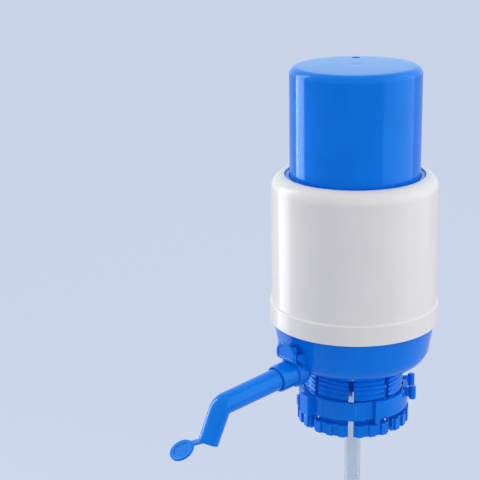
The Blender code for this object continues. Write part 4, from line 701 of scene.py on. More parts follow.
def rounded_box(name, low, high, edge):
    """A box with rounded edges between two corners."""
    low, high = Vector(low), Vector(high)
    place = Matrix.Translation((low + high) / 2) @ Matrix.Diagonal((*(high - low), 1))
    shape = bmesh.new()
    bmesh.ops.create_cube(shape, size=1, matrix=place)
    return bevelled(name, shape, shape.edges[:], edge)


def slab(name, outline, thickness, edge, place):
    """A flat outline with a thickness and rounded edges. The outline runs anticlockwise."""
    shape = bmesh.new()
    rows = []
    for level in (-thickness / 2, thickness / 2):
        rows.append([shape.verts.new(place @ Vector((x, y, level))) for x, y in outline])
    low, high = rows
    shape.faces.new(low[::-1])
    shape.faces.new(high)
    rims = []
    for i in range(len(outline)):
        j = (i + 1) % len(outline)
        side = shape.faces.new((low[i], low[j], high[j], high[i]))
        rims += [side.edges[0], side.edges[2]]
    return bevelled(name, shape, rims, edge)


def side_place(middle):
    """Stands a flat outline of world Y and Z square to X."""
    upright = Matrix(((0, 0, 1, 0), (1, 0, 0, 0), (0, 1, 0, 0), (0, 0, 0, 1)))
    return Matrix.Translation((middle, 0, 0)) @ upright


def rod(name, radius, start, end, edge, place, steps=PIN_TURN_STEPS):
    """A solid rod along Z with rounded ends, moved to its place."""
    corners = [(0, end, 0), (radius, end, edge), (radius, start, edge), (0, start, 0)]
    return lathe(name, rounded(corners, closed=False), steps, False, place)


def aimed(start, direction):
    """Takes a shape turned round Z to a point, with Z along a direction."""
    turn = Vector(direction).to_track_quat("Z", "Y").to_matrix().to_4x4()
    return Matrix.Translation(start) @ turn


def dress(piece, slot, body, *nodes):
    """Gives a piece its finish and its body, and hides the CAD nodes that it stands for."""
    piece.data.materials.clear()
    piece.data.materials.append(finish(slot))
    flats = piece.modifiers.new("flats", "WEIGHTED_NORMAL")
    flats.keep_sharp = True
    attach(piece, body)
    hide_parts(*nodes)


# Places that several pieces share


def shell_radius():
    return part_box("outer_shell")[1].x - setting("shell").step_in


def mouth_radius():
    return shell_radius() - setting("shell").mouth_inset


def bowl_radius():
    return shell_radius() - setting("bowl").step_back


def cap_radius():
    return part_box("press_cap")[1].x - setting("cap").flange_step


def ring_bore():
    collar = setting("collar")
    return collar.bore + collar.wall + setting("ring").bore_gap


def spout_way():
    """The direction in which the spout leaves the pump."""
    socket = setting("socket")
    return Vector((0, -math.cos(socket.slope), -math.sin(socket.slope)))


def spout_point(reach):
    """A point on the spout's axis at a distance from the pump's axis."""
    return Vector((0, 0, setting("socket").level)) + spout_way() * reach


def socket_reach():
    return bowl_radius() + setting("socket").standoff


def leg_way():
    """The direction in which the spout's leg runs down."""
    lean = setting("spout").leg_lean
    return Vector((0, -math.sin(lean), -math.cos(lean)))


def leg_out():
    """The direction square to the leg, away from the pump."""
    lean = setting("spout").leg_lean
    return Vector((0, -math.cos(lean), math.sin(lean)))


def spout_tip():
    spout = setting("spout")
    return spout_point(socket_reach() + spout.run) + leg_way() * spout.leg


def strap_pivot():
    """The line where the dust cap's strap bends."""
    cap = setting("dust_cap")
    return spout_tip() + leg_out() * cap.pivot_out - leg_way() * cap.pivot_up


def pin_centre():
    lever = setting("lever")
    return Vector((0, -bowl_radius() - lever.pin_standoff, lever.pin_level))


def bowl_radius_at(height):
    """The bowl's outer radius at a height."""
    bowl = setting("bowl")
    foot = bowl_radius() - bowl.draft
    round_top = bowl.underside + bowl.foot_round
    if height > round_top:
        return foot + bowl.draft * (height - round_top) / (bowl.shoulder - round_top)
    drop = round_top - height
    return foot - bowl.foot_round + math.sqrt(bowl.foot_round**2 - drop**2)


# Pieces


class PieceOperator:
    """What all the pump's operators share"""

    bl_options = {"REGISTER", "UNDO"}


class PUMP_OT_outer_shell(PieceOperator, bpy.types.Operator):
    """Makes the white shell with its band"""

    bl_idname = "pump.outer_shell"
    bl_label = "Outer Shell"

    def execute(self, context):
        shell, edge = setting("shell"), setting("fit").edge
        low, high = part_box("outer_shell")
        body, mouth = shell_radius(), mouth_radius()
        bore = body - shell.wall
        lip = mouth + shell.lip_wall
        band_top = low.z + shell.band_height
        ledge = low.z + shell.ledge_level
        corners = [
            (mouth, high.z, shell.mouth_round),
            (body, high.z, shell.shoulder),
            (body, band_top, edge / 2),
            (high.x, band_top, shell.band_round),
            (high.x, low.z, edge),
            (bore, low.z, 0),
            (bore, ledge, 0),
            (bore - shell.ledge_depth, ledge, 0),
            (bore - shell.ledge_depth, ledge + shell.ledge_height, 0),
            (bore, ledge + shell.ledge_height, 0),
            (bore, high.z - shell.wall, shell.wall),
            (lip, high.z - shell.wall, 0),
            (lip, high.z - shell.lip_depth, 0),
            (mouth, high.z - shell.lip_depth, 0),
        ]
        piece = lathe("shell", rounded(corners, steps=FILLET_STEPS * 2))
        dress(piece, "white_plastic", "base", "outer_shell")
        return {"FINISHED"}


class PUMP_OT_press_cap(PieceOperator, bpy.types.Operator):
    """Makes the blue cap that the palm pushes"""

    bl_idname = "pump.press_cap"
    bl_label = "Press Cap"

    def execute(self, context):
        cap = setting("cap")
        low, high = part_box("press_cap")
        outer = cap_radius()
        edge_top = high.z - cap.crown
        inside = edge_top - cap.top_wall
        bore = outer - cap.wall
        flange = low.z + cap.flange_height
        profile = [(0, high.z - cap.gate_depth), (cap.gate_radius / 2, high.z - cap.gate_depth)]
        for i in range(CROWN_STEPS):
            radius = cap.gate_radius + (outer - cap.top_round - cap.gate_radius) * i / CROWN_STEPS
            profile.append((radius, edge_top + cap.crown * (1 - (radius / outer) ** 2)))
        corners = [
            (0, edge_top, 0),
            (outer, edge_top, cap.top_round),
            (outer, flange, 0),
            (high.x, flange, 0),
            (high.x, low.z, 0),
            (bore, low.z, 0),
            (bore, inside, cap.wall / 2),
            (cap.push_radius, inside, 0),
            (cap.push_radius, inside - cap.push_height, 0),
            (cap.push_radius - cap.push_wall, inside - cap.push_height, 0),
            (cap.push_radius - cap.push_wall, inside, 0),
            (0, inside, 0),
        ]
        profile += rounded(corners, closed=False, steps=FILLET_STEPS * 2)[1:]
        piece = lathe("cap", profile, closed=False)
        ends = (edge_top - cap.dimple_depth, high.z + cap.crown)
        place = Matrix.Translation(around(setting("stage").azimuth + math.pi, cap.dimple_reach))
        piece = cut(piece, rod("dimple", cap.dimple_radius, *ends, 0, place, SMALL_TURN_STEPS))
        dress(piece, "blue_plastic", "cap", "press_cap")
        return {"FINISHED"}


class PUMP_OT_cap_retainer(PieceOperator, bpy.types.Operator):
    """Makes the blue ring between the cap and the shell's mouth"""

    bl_idname = "pump.cap_retainer"
    bl_label = "Retaining Ring"

    def execute(self, context):
        cap, fit = setting("cap"), setting("fit")
        low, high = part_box("cap_retainer")
        outer = mouth_radius() - fit.snug
        bore = cap_radius() + fit.gap
        hook = low.z + cap.retainer_hook
        corners = [
            (bore, high.z, cap.retainer_round),
            (outer, high.z, cap.retainer_round),
            (outer, hook, 0),
            (outer + cap.retainer_step, hook, 0),
            (outer + cap.retainer_step, low.z, 0),
            (bore, low.z, 0),
        ]
        piece = lathe("retaining_ring", rounded(corners))
        dress(piece, "blue_plastic", "base", "cap_retainer")
        return {"FINISHED"}


def make_bowl():
    """The bowl with the ring inside the shell, its inner ledge and the holes in its floor."""
    bowl, collar, fit = setting("bowl"), setting("collar"), setting("fit")
    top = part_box("base_housing")[1].z
    outer = bowl_radius()
    spigot = shell_radius() - setting("shell").wall - fit.gap
    spigot_bore = spigot - bowl.spigot_wall
    ledge_bore = spigot_bore - bowl.ledge_depth
    ledge_top = bowl.shoulder + bowl.ledge_rise
    ledge_bottom = ledge_top - bowl.ledge_wall
    foot = outer - bowl.draft
    inside = outer - bowl.wall
    floor_top = bowl.underside + bowl.floor
    inner_round = bowl.foot_round - bowl.wall
    root = bowl.underside - collar.slot_web
    collar_outer = collar.bore + collar.wall
    shoulder = [(spigot, bowl.shoulder, 0), (outer, bowl.shoulder, fit.edge * 2), (foot, floor_top, 0)]
    profile = [(spigot, top), *rounded(shoulder, closed=False)[:-1]]
    round_at = (foot - bowl.foot_round, bowl.underside + bowl.foot_round)
    profile += arc(*round_at, bowl.foot_round, 0, -90, FILLET_STEPS * 3)
    profile += [
        (collar_outer, bowl.underside),
        (collar_outer, root),
        (collar.bore, root),
        (collar.bore, bowl.underside),
        (bowl.floor_hole, bowl.underside),
        (bowl.floor_hole, floor_top),
    ]
    profile += arc(round_at[0], floor_top + inner_round, inner_round, -90, 0, FILLET_STEPS * 2)
    profile += [
        (inside, ledge_bottom - (inside - ledge_bore)),
        (ledge_bore, ledge_bottom),
        (ledge_bore, ledge_top),
        (spigot_bore, ledge_top),
        (spigot_bore, top),
    ]
    piece = lathe("bowl", profile)
    ends = (bowl.underside - bowl.floor, floor_top + bowl.floor)
    pitch = math.tau / bowl.air_holes
    for i in range(bowl.air_holes):
        place = Matrix.Translation(around(pitch / 2 + pitch * i, bowl.air_circle))
        piece = cut(piece, rod("hole", bowl.air_hole, *ends, 0, place))
    return piece


def thread_height(turn, height):
    """The thread's height at a point, as a share of its full height."""
    collar = setting("collar")
    phase = math.tau * (height / collar.thread_pitch) + turn
    return ((1 - math.cos(phase)) / 2) ** collar.thread_shape


def finger_rows():
    """Rows of a finger's section as (kind, height, offset), down outside and up inside."""
    collar, edge = setting("collar"), setting("fit").edge
    top = setting("bowl").underside - collar.slot_web / 2
    flange_top = setting("bowl").underside - collar.drop
    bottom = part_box("base_housing")[0].z
    steps = math.ceil((top - flange_top) / collar.thread_pitch * collar.thread_rows)
    rows = [("thread", top + (flange_top - top) * i / steps, 0) for i in range(steps + 1)]
    outside = [(flange_top, -edge), (flange_top - edge, 0), (bottom + edge, 0), (bottom, -edge)]
    hook_low, hook_high = bottom + collar.hook_depth, bottom + collar.hook_height
    inside = [
        (bottom, edge),
        (bottom + edge, 0),
        (hook_low, -collar.hook_depth),
        (hook_high - collar.hook_depth, -collar.hook_depth),
        (hook_high, 0),
        (top, 0),
    ]
    rows += [("flange", *row) for row in outside]
    rows += [("bore", *row) for row in inside]
    return rows


def finger_columns():
    """Shares across a finger, and whether each is on a tooth."""
    collar = setting("collar")
    teeth = collar.tooth_count
    half, flank = collar.tooth_share / 2, collar.flank_share / 2
    off = [(-1 / 2, False), (-half - flank, False), (half + flank, False)]
    on = [(flank - half, True), (0, True), (half - flank, True)]
    columns = []
    for i in range(teeth):
        columns += [((i + 1 / 2 + part) / teeth, on_tooth) for part, on_tooth in sorted(off + on)]
    columns.append((1.0, False))
    dense = []
    for (here, tooth), (there, next_tooth) in zip(columns, columns[1:]):
        dense.append((here, tooth))
        if tooth == next_tooth:
            dense.append(((here + there) / 2, tooth))
    return [*dense, columns[-1]]


def make_finger(index):
    """One finger of the collar between two slots, with its thread, its teeth and its hook."""
    collar = setting("collar")
    pitch = math.tau / collar.fingers
    start = index * pitch
    outer = collar.bore + collar.wall
    rows = finger_rows()
    sections = []
    for part, on_tooth in finger_columns():
        section = []
        for kind, height, offset in rows:
            if kind == "thread":
                radius = outer - collar.thread_depth * (1 - thread_height(start + pitch * part, height))
            elif kind == "flange":
                radius = outer + collar.flange_step + offset + (collar.tooth_height if on_tooth else 0)
            else:
                radius = collar.bore + offset
            margin = math.asin(collar.slot_width / 2 / radius)
            turn = start + margin + (pitch - 2 * margin) * part
            section.append(around(turn, radius, height))
        sections.append(section)
    return loft("finger", sections)


def make_socket():
    """The spout's socket, the collar at its root and the channel for the elbow's arm."""
    socket, edge = setting("socket"), setting("fit").edge
    bowl, reach = bowl_radius(), socket_reach()
    root = bowl - socket.root
    floor = reach - socket.depth
    place = aimed(spout_point(0), spout_way())
    corners = [
        (socket.radius, reach, edge * 1.5),
        (socket.radius, root, edge),
        (socket.water_bore, root, 0),
        (socket.water_bore, floor, 0),
        (socket.bore, floor, 0),
        (socket.bore, reach, edge),
    ]
    wide, narrow = socket.radius + socket.collar_step, socket.radius - socket.collar_step / 2
    start, end = bowl - socket.collar_root, bowl + socket.collar_standoff
    collar = [(wide, end, edge * 2), (wide, start, edge), (narrow, start, 0), (narrow, end, 0)]
    channel = socket.channel_bore + socket.channel_wall
    ridge = [
        (channel, socket.channel_start, 0),
        (socket.channel_bore, socket.channel_start, 0),
        (socket.channel_bore, socket.channel_end, 0),
        (socket.water_bore, socket.channel_end, 0),
        (socket.water_bore, floor, 0),
        (channel, floor, 0),
    ]
    profiles = {"socket": corners, "socket_collar": collar, "channel": ridge}
    steps = SMALL_TURN_STEPS * 2
    return [lathe(name, rounded(profile), steps, place=place) for name, profile in profiles.items()]


def make_ear(side):
    """One of the two ears that carry the vent lever's pin."""
    lever, fit = setting("lever"), setting("fit")
    pin = pin_centre()
    low = pin.z - lever.ear_depth
    wall = -bowl_radius_at(low)
    in_wall = wall + setting("bowl").wall / 2
    outline = [(in_wall, low), (in_wall, pin.z + lever.ear_radius)]
    outline += [(pin.y - y, pin.z + x) for x, y in arc(0, 0, lever.ear_radius, 0, 180, FILLET_STEPS * 2)]
    outline.append((wall - lever.pin_standoff, low))
    middle = side * (lever.half_width + fit.gap + lever.ear_thickness / 2)
    return slab("ear", outline, lever.ear_thickness, fit.edge, side_place(middle))


class PUMP_OT_base_housing(PieceOperator, bpy.types.Operator):
    """Makes the bowl with its threaded collar, spout socket and ears"""

    bl_idname = "pump.base_housing"
    bl_label = "Base Housing"

    def execute(self, context):
        pieces = [make_bowl()]
        pieces += [make_finger(i) for i in range(setting("collar").fingers)]
        pieces += make_socket()
        pieces += [make_ear(side) for side in (-1, 1)]
        dress(joined("housing", pieces), "blue_plastic", "base", "base_housing")
        return {"FINISHED"}


def ring_sections():
    """Sections round the clamp ring, each with its window, hollow, rib or band radius."""
    ring, edge = setting("ring"), setting("fit").edge
    bore = ring_bore()
    window = bore + ring.window_wall
    spans = []
    start = ring.block_angle
    for i in range(ring.ribs):
        rib = ring.rib_first + i * ring.rib_pitch
        spans.append((start, rib, window))
        spans.append((rib, rib + ring.rib_span, window + ring.rib_height))
        start = rib + ring.rib_span
    spans.append((start, ring.hollow_from, window))
    spans.append((ring.hollow_from, ring.band_from, bore + ring.hollow_wall))
    spans.append((ring.band_from, ring.block_angle + math.tau, bore + ring.band_wall))
    bottom = ring.top - ring.height
    sections = []
    for low, high, radius in spans:
        inner_low, inner_high = low + ring.blend / 2, high - ring.blend / 2
        steps = max(2, math.ceil((high - low) / RING_STEP_ANGLE))
        corners = [(bore, ring.top, 0), (radius, ring.top, edge), (radius, bottom, edge), (bore, bottom, 0)]
        profile = rounded(corners, steps=EDGE_STEPS)
        for i in range(steps + 1):
            turn = inner_low + (inner_high - inner_low) * i / steps
            sections.append([around(turn, r, z) for r, z in profile])
    return sections


def turned(piece, turn):
    """Turns a piece round the pump's axis."""
    piece.data.transform(Matrix.Rotation(turn, 4, "Z"))
    return piece


def ring_block(name, turn, sides, reach, low, high):
    """A rounded block that stands out from the clamp ring, between two sides."""
    root = ring_bore() + setting("ring").window_wall / 2
    ends = ((sides[0], -reach, low), (sides[1], -root, high))
    return turned(rounded_box(name, *ends, setting("fit").edge), turn)


def make_lug(turn):
    """A finger lug: a web with a bead on its outer edge."""
    ring = setting("ring")
    bead_at = ring_bore() + ring.band_wall + ring.lug_step - ring.lug_bead
    high = ring.top + ring.lug_rise
    low = high - ring.lug_height
    half = ring.lug_web / 2
    inset = ring.lug_bead - half
    web = ring_block("lug", turn, (-half, half), bead_at, low + inset, high - inset)
    place = Matrix.Translation(around(turn, bead_at))
    return [web, rod("bead", ring.lug_bead, low, high, setting("fit").edge * 2, place)]


class PUMP_OT_clamp_ring(PieceOperator, bpy.types.Operator):
    """Makes the clamp ring with its ribs, end block, pawl and finger lugs"""

    bl_idname = "pump.clamp_ring"
    bl_label = "Clamp Ring"

    def execute(self, context):
        ring = setting("ring")
        top, bottom = ring.top, ring.top - ring.height
        middle = (top + bottom) / 2
        window = ring_bore() + ring.window_wall
        band = ring_bore() + ring.band_wall
        body = loft("ring", ring_sections(), cyclic=True)
        half = ring.notch_width / 2
        notch_low = (-half, -band - ring.notch_width, bottom - ring.notch_height)
        notch_high = (half, -window, bottom + ring.notch_height)
        notch = rounded_box("notch", notch_low, notch_high, ring.rib_height)
        pieces = [cut(body, turned(notch, ring.notch_angle))]
        half, reach = ring.block_width / 2, band + ring.block_step
        ends = (bottom - ring.rib_height, top + ring.rib_height)
        pieces.append(ring_block("block", ring.block_angle, (-half, half), reach, *ends))
        half, reach = ring.tab_width / 2, band + ring.tab_step
        ends = (middle - ring.tab_height / 2, middle + ring.tab_height / 2)
        pieces.append(ring_block("tab", ring.tab_angle, (-half, half), reach, *ends))
        sides, reach = (-ring.rib_height, ring.pawl_width), band + ring.rib_height
        ends = (bottom - ring.pawl_drop, top + ring.rib_height)
        pieces.append(ring_block("pawl", ring.band_from, sides, reach, *ends))
        for i in range(ring.lugs):
            pieces += make_lug(ring.lug_first + i * ring.lug_pitch)
        dress(joined("clamp", pieces), "blue_plastic", "clamp", "clamp_ring")
        return {"FINISHED"}


def circle(centre, across, up, radius, steps):
    """Points round a centre in the plane of two directions."""
    turns = [math.tau * i / steps for i in range(steps)]
    return [centre + (across * math.cos(turn) + up * math.sin(turn)) * radius for turn in turns]


def spout_line(start_reach):
    """Centres and directions along the spout, round its bend and down its leg."""
    spout = setting("spout")
    corner = spout_point(socket_reach() + spout.run)
    into, out = spout_way(), leg_way()
    turn = into.angle(out)
    bend_start = corner - into * spout.bend * math.tan(turn / 2)
    inward = (out - into * into.dot(out)).normalized()
    centre = bend_start + inward * spout.bend
    line = [(spout_point(start_reach), into, 0.0)]
    for i in range(spout.bend_steps + 1):
        at = turn * i / spout.bend_steps
        spoke = into * math.sin(at) - inward * math.cos(at)
        way = into * math.cos(at) + inward * math.sin(at)
        line.append((centre + spoke * spout.bend, way, i / spout.bend_steps))
    line.append((spout_tip(), out, 1.0))
    return line


class PUMP_OT_spout(PieceOperator, bpy.types.Operator):
    """Makes the bent spout that swivels in its socket"""

    bl_idname = "pump.spout"
    bl_label = "Spout"

    def execute(self, context):
        spout, socket, fit = setting("spout"), setting("socket"), setting("fit")
        edge = fit.edge
        first, *bend, (tip, out, _) = spout_line(socket_reach() - socket.depth + fit.gap)
        taper = spout.leg_radius - spout.elbow_radius
        rows = [(*first[:2], spout.radius)]
        rows += [(centre, way, spout.elbow_radius + taper * part) for centre, way, part in bend]
        ends = arc(spout.tip_radius - edge, edge, edge, 0, -90, EDGE_STEPS)
        ends += arc(spout.bore + edge, edge, edge, 270, 180, EDGE_STEPS)
        rows += [(tip - out * back, out, across) for across, back in ends]
        rows += [(centre, way, spout.bore) for centre, way, _ in reversed([first, *bend])]
        rings = [circle(at, SIDE, SIDE.cross(way), radius, SMALL_TURN_STEPS) for at, way, radius in rows]
        piece = loft("spout_tube", rings, cyclic=True)
        dress(piece, "blue_plastic", "spout", "spout")
        return {"FINISHED"}


def strap_line():
    """Points along the strap from the spout's tip to the open dust cap."""
    cap, spout, fit = setting("dust_cap"), setting("spout"), setting("fit")
    tip, out, way, pivot = spout_tip(), leg_out(), leg_way(), strap_pivot()
    wall = spout.tip_radius - spout.bore
    root = tip - way * cap.root_up + out * (spout.tip_radius - wall / 2)
    middle = tip + way * (fit.gap + cap.height / 2)
    end = opened() @ (middle + out * (cap.radius - cap.rim_width))
    handle = pivot * 2 - (root + end) / 2 - Vector((0, 0, cap.strap_sag * 2))
    points = []
    for i in range(cap.strap_rows + 1):
        part = i / cap.strap_rows
        rest = 1 - part
        points.append(root * rest**2 + handle * (2 * part * rest) + end * part**2)
    return points


def opened():
    """Takes a place on the closed dust cap to the open one."""
    pivot = Matrix.Translation(strap_pivot())
    return pivot @ Matrix.Rotation(-setting("dust_cap").open_angle, 4, "X") @ pivot.inverted()


class PUMP_OT_dust_cap(PieceOperator, bpy.types.Operator):
    """Makes the dust cap and the strap that holds it to the spout"""

    bl_idname = "pump.dust_cap"
    bl_label = "Dust Cap"

    def execute(self, context):
        self.make_disc()
        self.make_strap()
        return {"FINISHED"}

    def make_disc(self):
        cap, edge = setting("dust_cap"), setting("fit").edge
        low = setting("fit").gap
        rim = low + cap.height
        face = rim - cap.rim_height
        rim_inner = cap.radius - cap.rim_width
        plug_end, plug_inner = low - cap.plug_length, cap.plug_radius - cap.plug_wall
        corners = [
            (0, face, 0),
            (rim_inner, face, edge / 2),
            (rim_inner, rim, edge / 2),
            (cap.radius, rim, edge),
            (cap.radius, low, edge),
            (cap.plug_radius, low, edge),
            (cap.plug_radius, plug_end, edge),
            (plug_inner, plug_end, edge),
            (plug_inner, low, 0),
            (0, low, 0),
        ]
        place = opened() @ aimed(spout_tip(), leg_way())
        disc = lathe("dust_disc", rounded(corners, closed=False), SMALL_TURN_STEPS, False, place)
        dress(disc, "blue_plastic", "tip_cap", "dust_cap")

    def make_strap(self):
        cap = setting("dust_cap")
        points = strap_line()
        half, thin = cap.strap_width / 2, cap.strap_thickness / 2
        corners = [(x, y, thin / 2) for x, y in ((-half, -thin), (half, -thin), (half, thin), (-half, thin))]
        profile = rounded(corners, steps=EDGE_STEPS)
        sections = []
        for i, point in enumerate(points):
            way = points[min(i + 1, len(points) - 1)] - points[max(i - 1, 0)]
            up = SIDE.cross(way).normalized()
            sections.append([point + SIDE * x + up * y for x, y in profile])
        strap = loft("dust_strap", sections)
        pivot = strap_pivot()
        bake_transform(strap)
        strap.data.materials.append(finish("blue_plastic"))


def plate_rings():
    """Outlines of the lever's plate from its back to the bottom of its dish."""
    lever, edge = setting("lever"), setting("fit").edge
    straight, thick = lever.plate_straight, lever.plate_thickness
    start = math.degrees(lever.plate_cut)
    rings = []
    levels = [(edge, 0), (0, edge), (0, thick - edge), (edge, thick)]
    levels += [(lever.rim, thick), (lever.rim + lever.dish, thick - lever.dish)]
    for inset, out in levels:
        half = lever.plate_radius - inset
        outline = [
            (half, straight, 0),
            *((x, y, 0) for x, y in arc(0, straight, half, start, 180 - start, FILLET_STEPS * 5)),
            (-half, straight, 0),
            (-half, inset, edge * 2),
            (half, inset, edge * 2),
        ]
        rings.append([(x, y, out) for x, y in rounded(outline, steps=FILLET_STEPS - 1)])
    return rings


def stem_end():
    """The front end of the vent valve's stem."""
    lever = setting("lever")
    return pin_centre() + Vector((0, lever.stem_setback, lever.vent_rise))


def plate_reach(level):
    """How far out the middle of the lever's plate lies at a height."""
    lever = setting("lever")
    lean = (level - lever.plate_bottom) * math.tan(setting("socket").slope)
    return -pin_centre().y + lever.plate_standoff + lean - lever.plate_thickness / 2


class PUMP_OT_vent_lever(PieceOperator, bpy.types.Operator):
    """Makes the thumb lever over the socket, its pin and the vent valve"""

    bl_idname = "pump.vent_lever"
    bl_label = "Vent Lever"

    def execute(self, context):
        self.make_lever()
        self.make_pin()
        self.make_valve()
        return {"FINISHED"}

    def make_plate(self):
        lever, along = setting("lever"), spout_way()
        up = along.cross(SIDE)
        across = up.cross(along)
        back = Vector((0, pin_centre().y - lever.plate_standoff, lever.plate_bottom))
        back -= along * lever.plate_thickness
        rings = [[back + across * x + up * y + along * z for x, y, z in ring] for ring in plate_rings()]
        return loft("plate", rings)

    def make_lever(self):
        lever, fit, pin = setting("lever"), setting("fit"), pin_centre()
        half = lever.half_width
        place = aimed(pin - SIDE * half, SIDE)
        pieces = [self.make_plate(), rod("barrel", lever.barrel_radius, 0, half * 2, fit.edge, place)]
        cheek_top = pin.z + lever.cheek_rise
        outline = [
            (pin.y, pin.z),
            (pin.y - lever.ear_thickness / 3, cheek_top),
            (-plate_reach(cheek_top), cheek_top),
            (-plate_reach(pin.z), pin.z),
        ]
        for side in (-1, 1):
            middle = side * (half - lever.cheek_inset - lever.cheek_thickness / 2)
            pieces.append(slab("cheek", outline, lever.cheek_thickness, fit.edge / 2, side_place(middle)))
        inner = half - lever.cheek_thickness
        thick = lever.barrel_radius / 2
        low = (-inner, -plate_reach(pin.z), pin.z - thick)
        pieces.append(rounded_box("web", low, (inner, pin.y, pin.z + thick), fit.edge / 2))
        end = stem_end() - Vector((0, fit.gap, 0))
        reach = -end.y - plate_reach(end.z)
        pieces.append(rod("nose", lever.nose_radius, 0, -reach, fit.edge, aimed(end, FRONT)))
        dress(joined("lever", pieces), "blue_plastic", "lever", "vent_lever")

    def make_pin(self):
        lever = setting("lever")
        reach = lever.half_width + lever.ear_thickness
        place = aimed(pin_centre() - SIDE * reach, SIDE)
        pin = rod("pin", lever.pin_radius, 0, reach * 2, setting("fit").edge / 2, place)
        dress(pin, "blue_plastic", "base", "vent_pin")

    def make_valve(self):
        lever, fit, end = setting("lever"), setting("fit"), stem_end()
        head_front = -bowl_radius() + lever.seat_depth + fit.gap
        stem = head_front - end.y
        thick = lever.head_thickness
        corners = [
            (0, -thick, 0),
            (lever.head_radius, -thick, fit.edge),
            (lever.head_radius, 0, fit.edge),
            (lever.stem_radius, 0, 0),
            (lever.stem_radius, stem, fit.edge),
            (0, stem, 0),
        ]
        place = aimed((0, head_front, end.z), FRONT)
        valve = lathe("vent_poppet", rounded(corners, closed=False), PIN_TURN_STEPS, False, place)
        dress(valve, "blue_plastic", "vent", "vent_valve")


def coupler_profile(low, high, bore, inner, outer):
    """The coupler's profile, with grip ribs outside and a stop inside."""
    tube, edge = setting("tube"), setting("fit").edge
    middle = (low + high) / 2
    corners = [(outer, high, edge * 2)]
    pitch = (high - low) * tube.grip_share / tube.grip_ribs
    first = middle + pitch * tube.grip_ribs / 2
    rib = outer + tube.rib_height
    for i in range(tube.grip_ribs):
        for quarter, radius in enumerate((outer, rib, rib, outer)):
            corners.append((radius, first - pitch * (i + quarter / 4), 0))
    stop_low, stop_high = middle - tube.stop / 2, middle + tube.stop / 2
    corners += [(outer, low, edge * 2), (bore, low, edge), (bore, stop_low, 0), (inner, stop_low, 0)]
    corners += [(inner, stop_high, 0), (bore, stop_high, 0), (bore, high, edge)]
    return rounded(corners)


class PUMP_OT_water_tube(PieceOperator, bpy.types.Operator):
    """Makes the water elbow, the dip tube, its coupler and its foot"""

    bl_idname = "pump.water_tube"
    bl_label = "Water Tube"

    def execute(self, context):
        tube = setting("tube")
        inner, bore = tube.radius - tube.wall, tube.radius + setting("fit").gap
        self.make_tubes(inner)
        low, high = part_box("tube_coupler")
        profile = coupler_profile(low.z, high.z, bore, inner, bore + tube.coupler_wall)
        dress(lathe("coupler", profile, SMALL_TURN_STEPS), "white_plastic", "base", "tube_coupler")
        dress(self.make_foot(inner, bore), "white_plastic", "base", "strainer_foot")
        dress(self.make_elbow(bore), "blue_plastic", "base", "water_elbow")
        return {"FINISHED"}

    def make_tubes(self, inner):
        outer, edge = setting("tube").radius, setting("fit").edge
        for name in ("dip_tube_upper", "dip_tube_lower"):
            low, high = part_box(name)
            ends = ((outer, high.z), (outer, low.z), (inner, low.z), (inner, high.z))
            profile = rounded([(*end, edge) for end in ends])
            dress(lathe(name + "_fine", profile, SMALL_TURN_STEPS), "natural_plastic", "base", name)

    def make_foot(self, inner, bore):
        tube, edge = setting("tube"), setting("fit").edge
        low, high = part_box("strainer_foot")
        outer, wide = bore + tube.foot_wall, tube.foot_flare
        flare = low.z + tube.foot_notch_height
        shoulder = high.z - tube.socket_depth
        corners = [
            (outer, high.z, edge * 2),
            (outer, flare + wide, edge * 4),
            (outer + wide, flare, edge * 4),
            (outer + wide, low.z, edge * 2),
            (bore + wide, low.z, edge),
            (bore + wide, flare - wide, 0),
            (inner, flare, 0),
            (inner, shoulder, 0),
            (bore, shoulder, 0),
            (bore, high.z, edge),
        ]
        foot = lathe("foot", rounded(corners), SMALL_TURN_STEPS)
        reach = outer + wide * 2
        half = tube.foot_notch_width / 2
        ends = ((-half, -reach, low.z - reach), (half, reach, flare - wide))
        for turn in (0, math.pi / 2):
            foot = cut(foot, turned(rounded_box("notch", *ends, edge * 2), turn))
        return foot

    def make_elbow(self, bore):
        tube, edge = setting("tube"), setting("fit").edge
        middle = setting("socket").level
        radius, water = tube.riser_radius, tube.water_bore
        bottom, crown = -tube.riser_drop, middle + radius
        socket_top = bottom + tube.socket_depth
        corners = [
            (0, crown, 0),
            (radius, crown, radius * tube.dome_share),
            (radius, bottom, edge * 2),
            (bore, bottom, edge),
            (bore, socket_top, 0),
            (water, socket_top, 0),
            (water, middle, 0),
            (0, middle, 0),
        ]
        riser = lathe("riser", rounded(corners, closed=False), SMALL_TURN_STEPS, closed=False)
        arm, reach = tube.arm_radius, tube.arm_reach
        corners = [(arm, reach, edge), (arm, radius / 2, 0), (water, radius / 2, 0), (water, reach, edge)]
        place = aimed(spout_point(0), spout_way())
        return joined("elbow", [riser, lathe("arm", rounded(corners), SMALL_TURN_STEPS, place=place)])


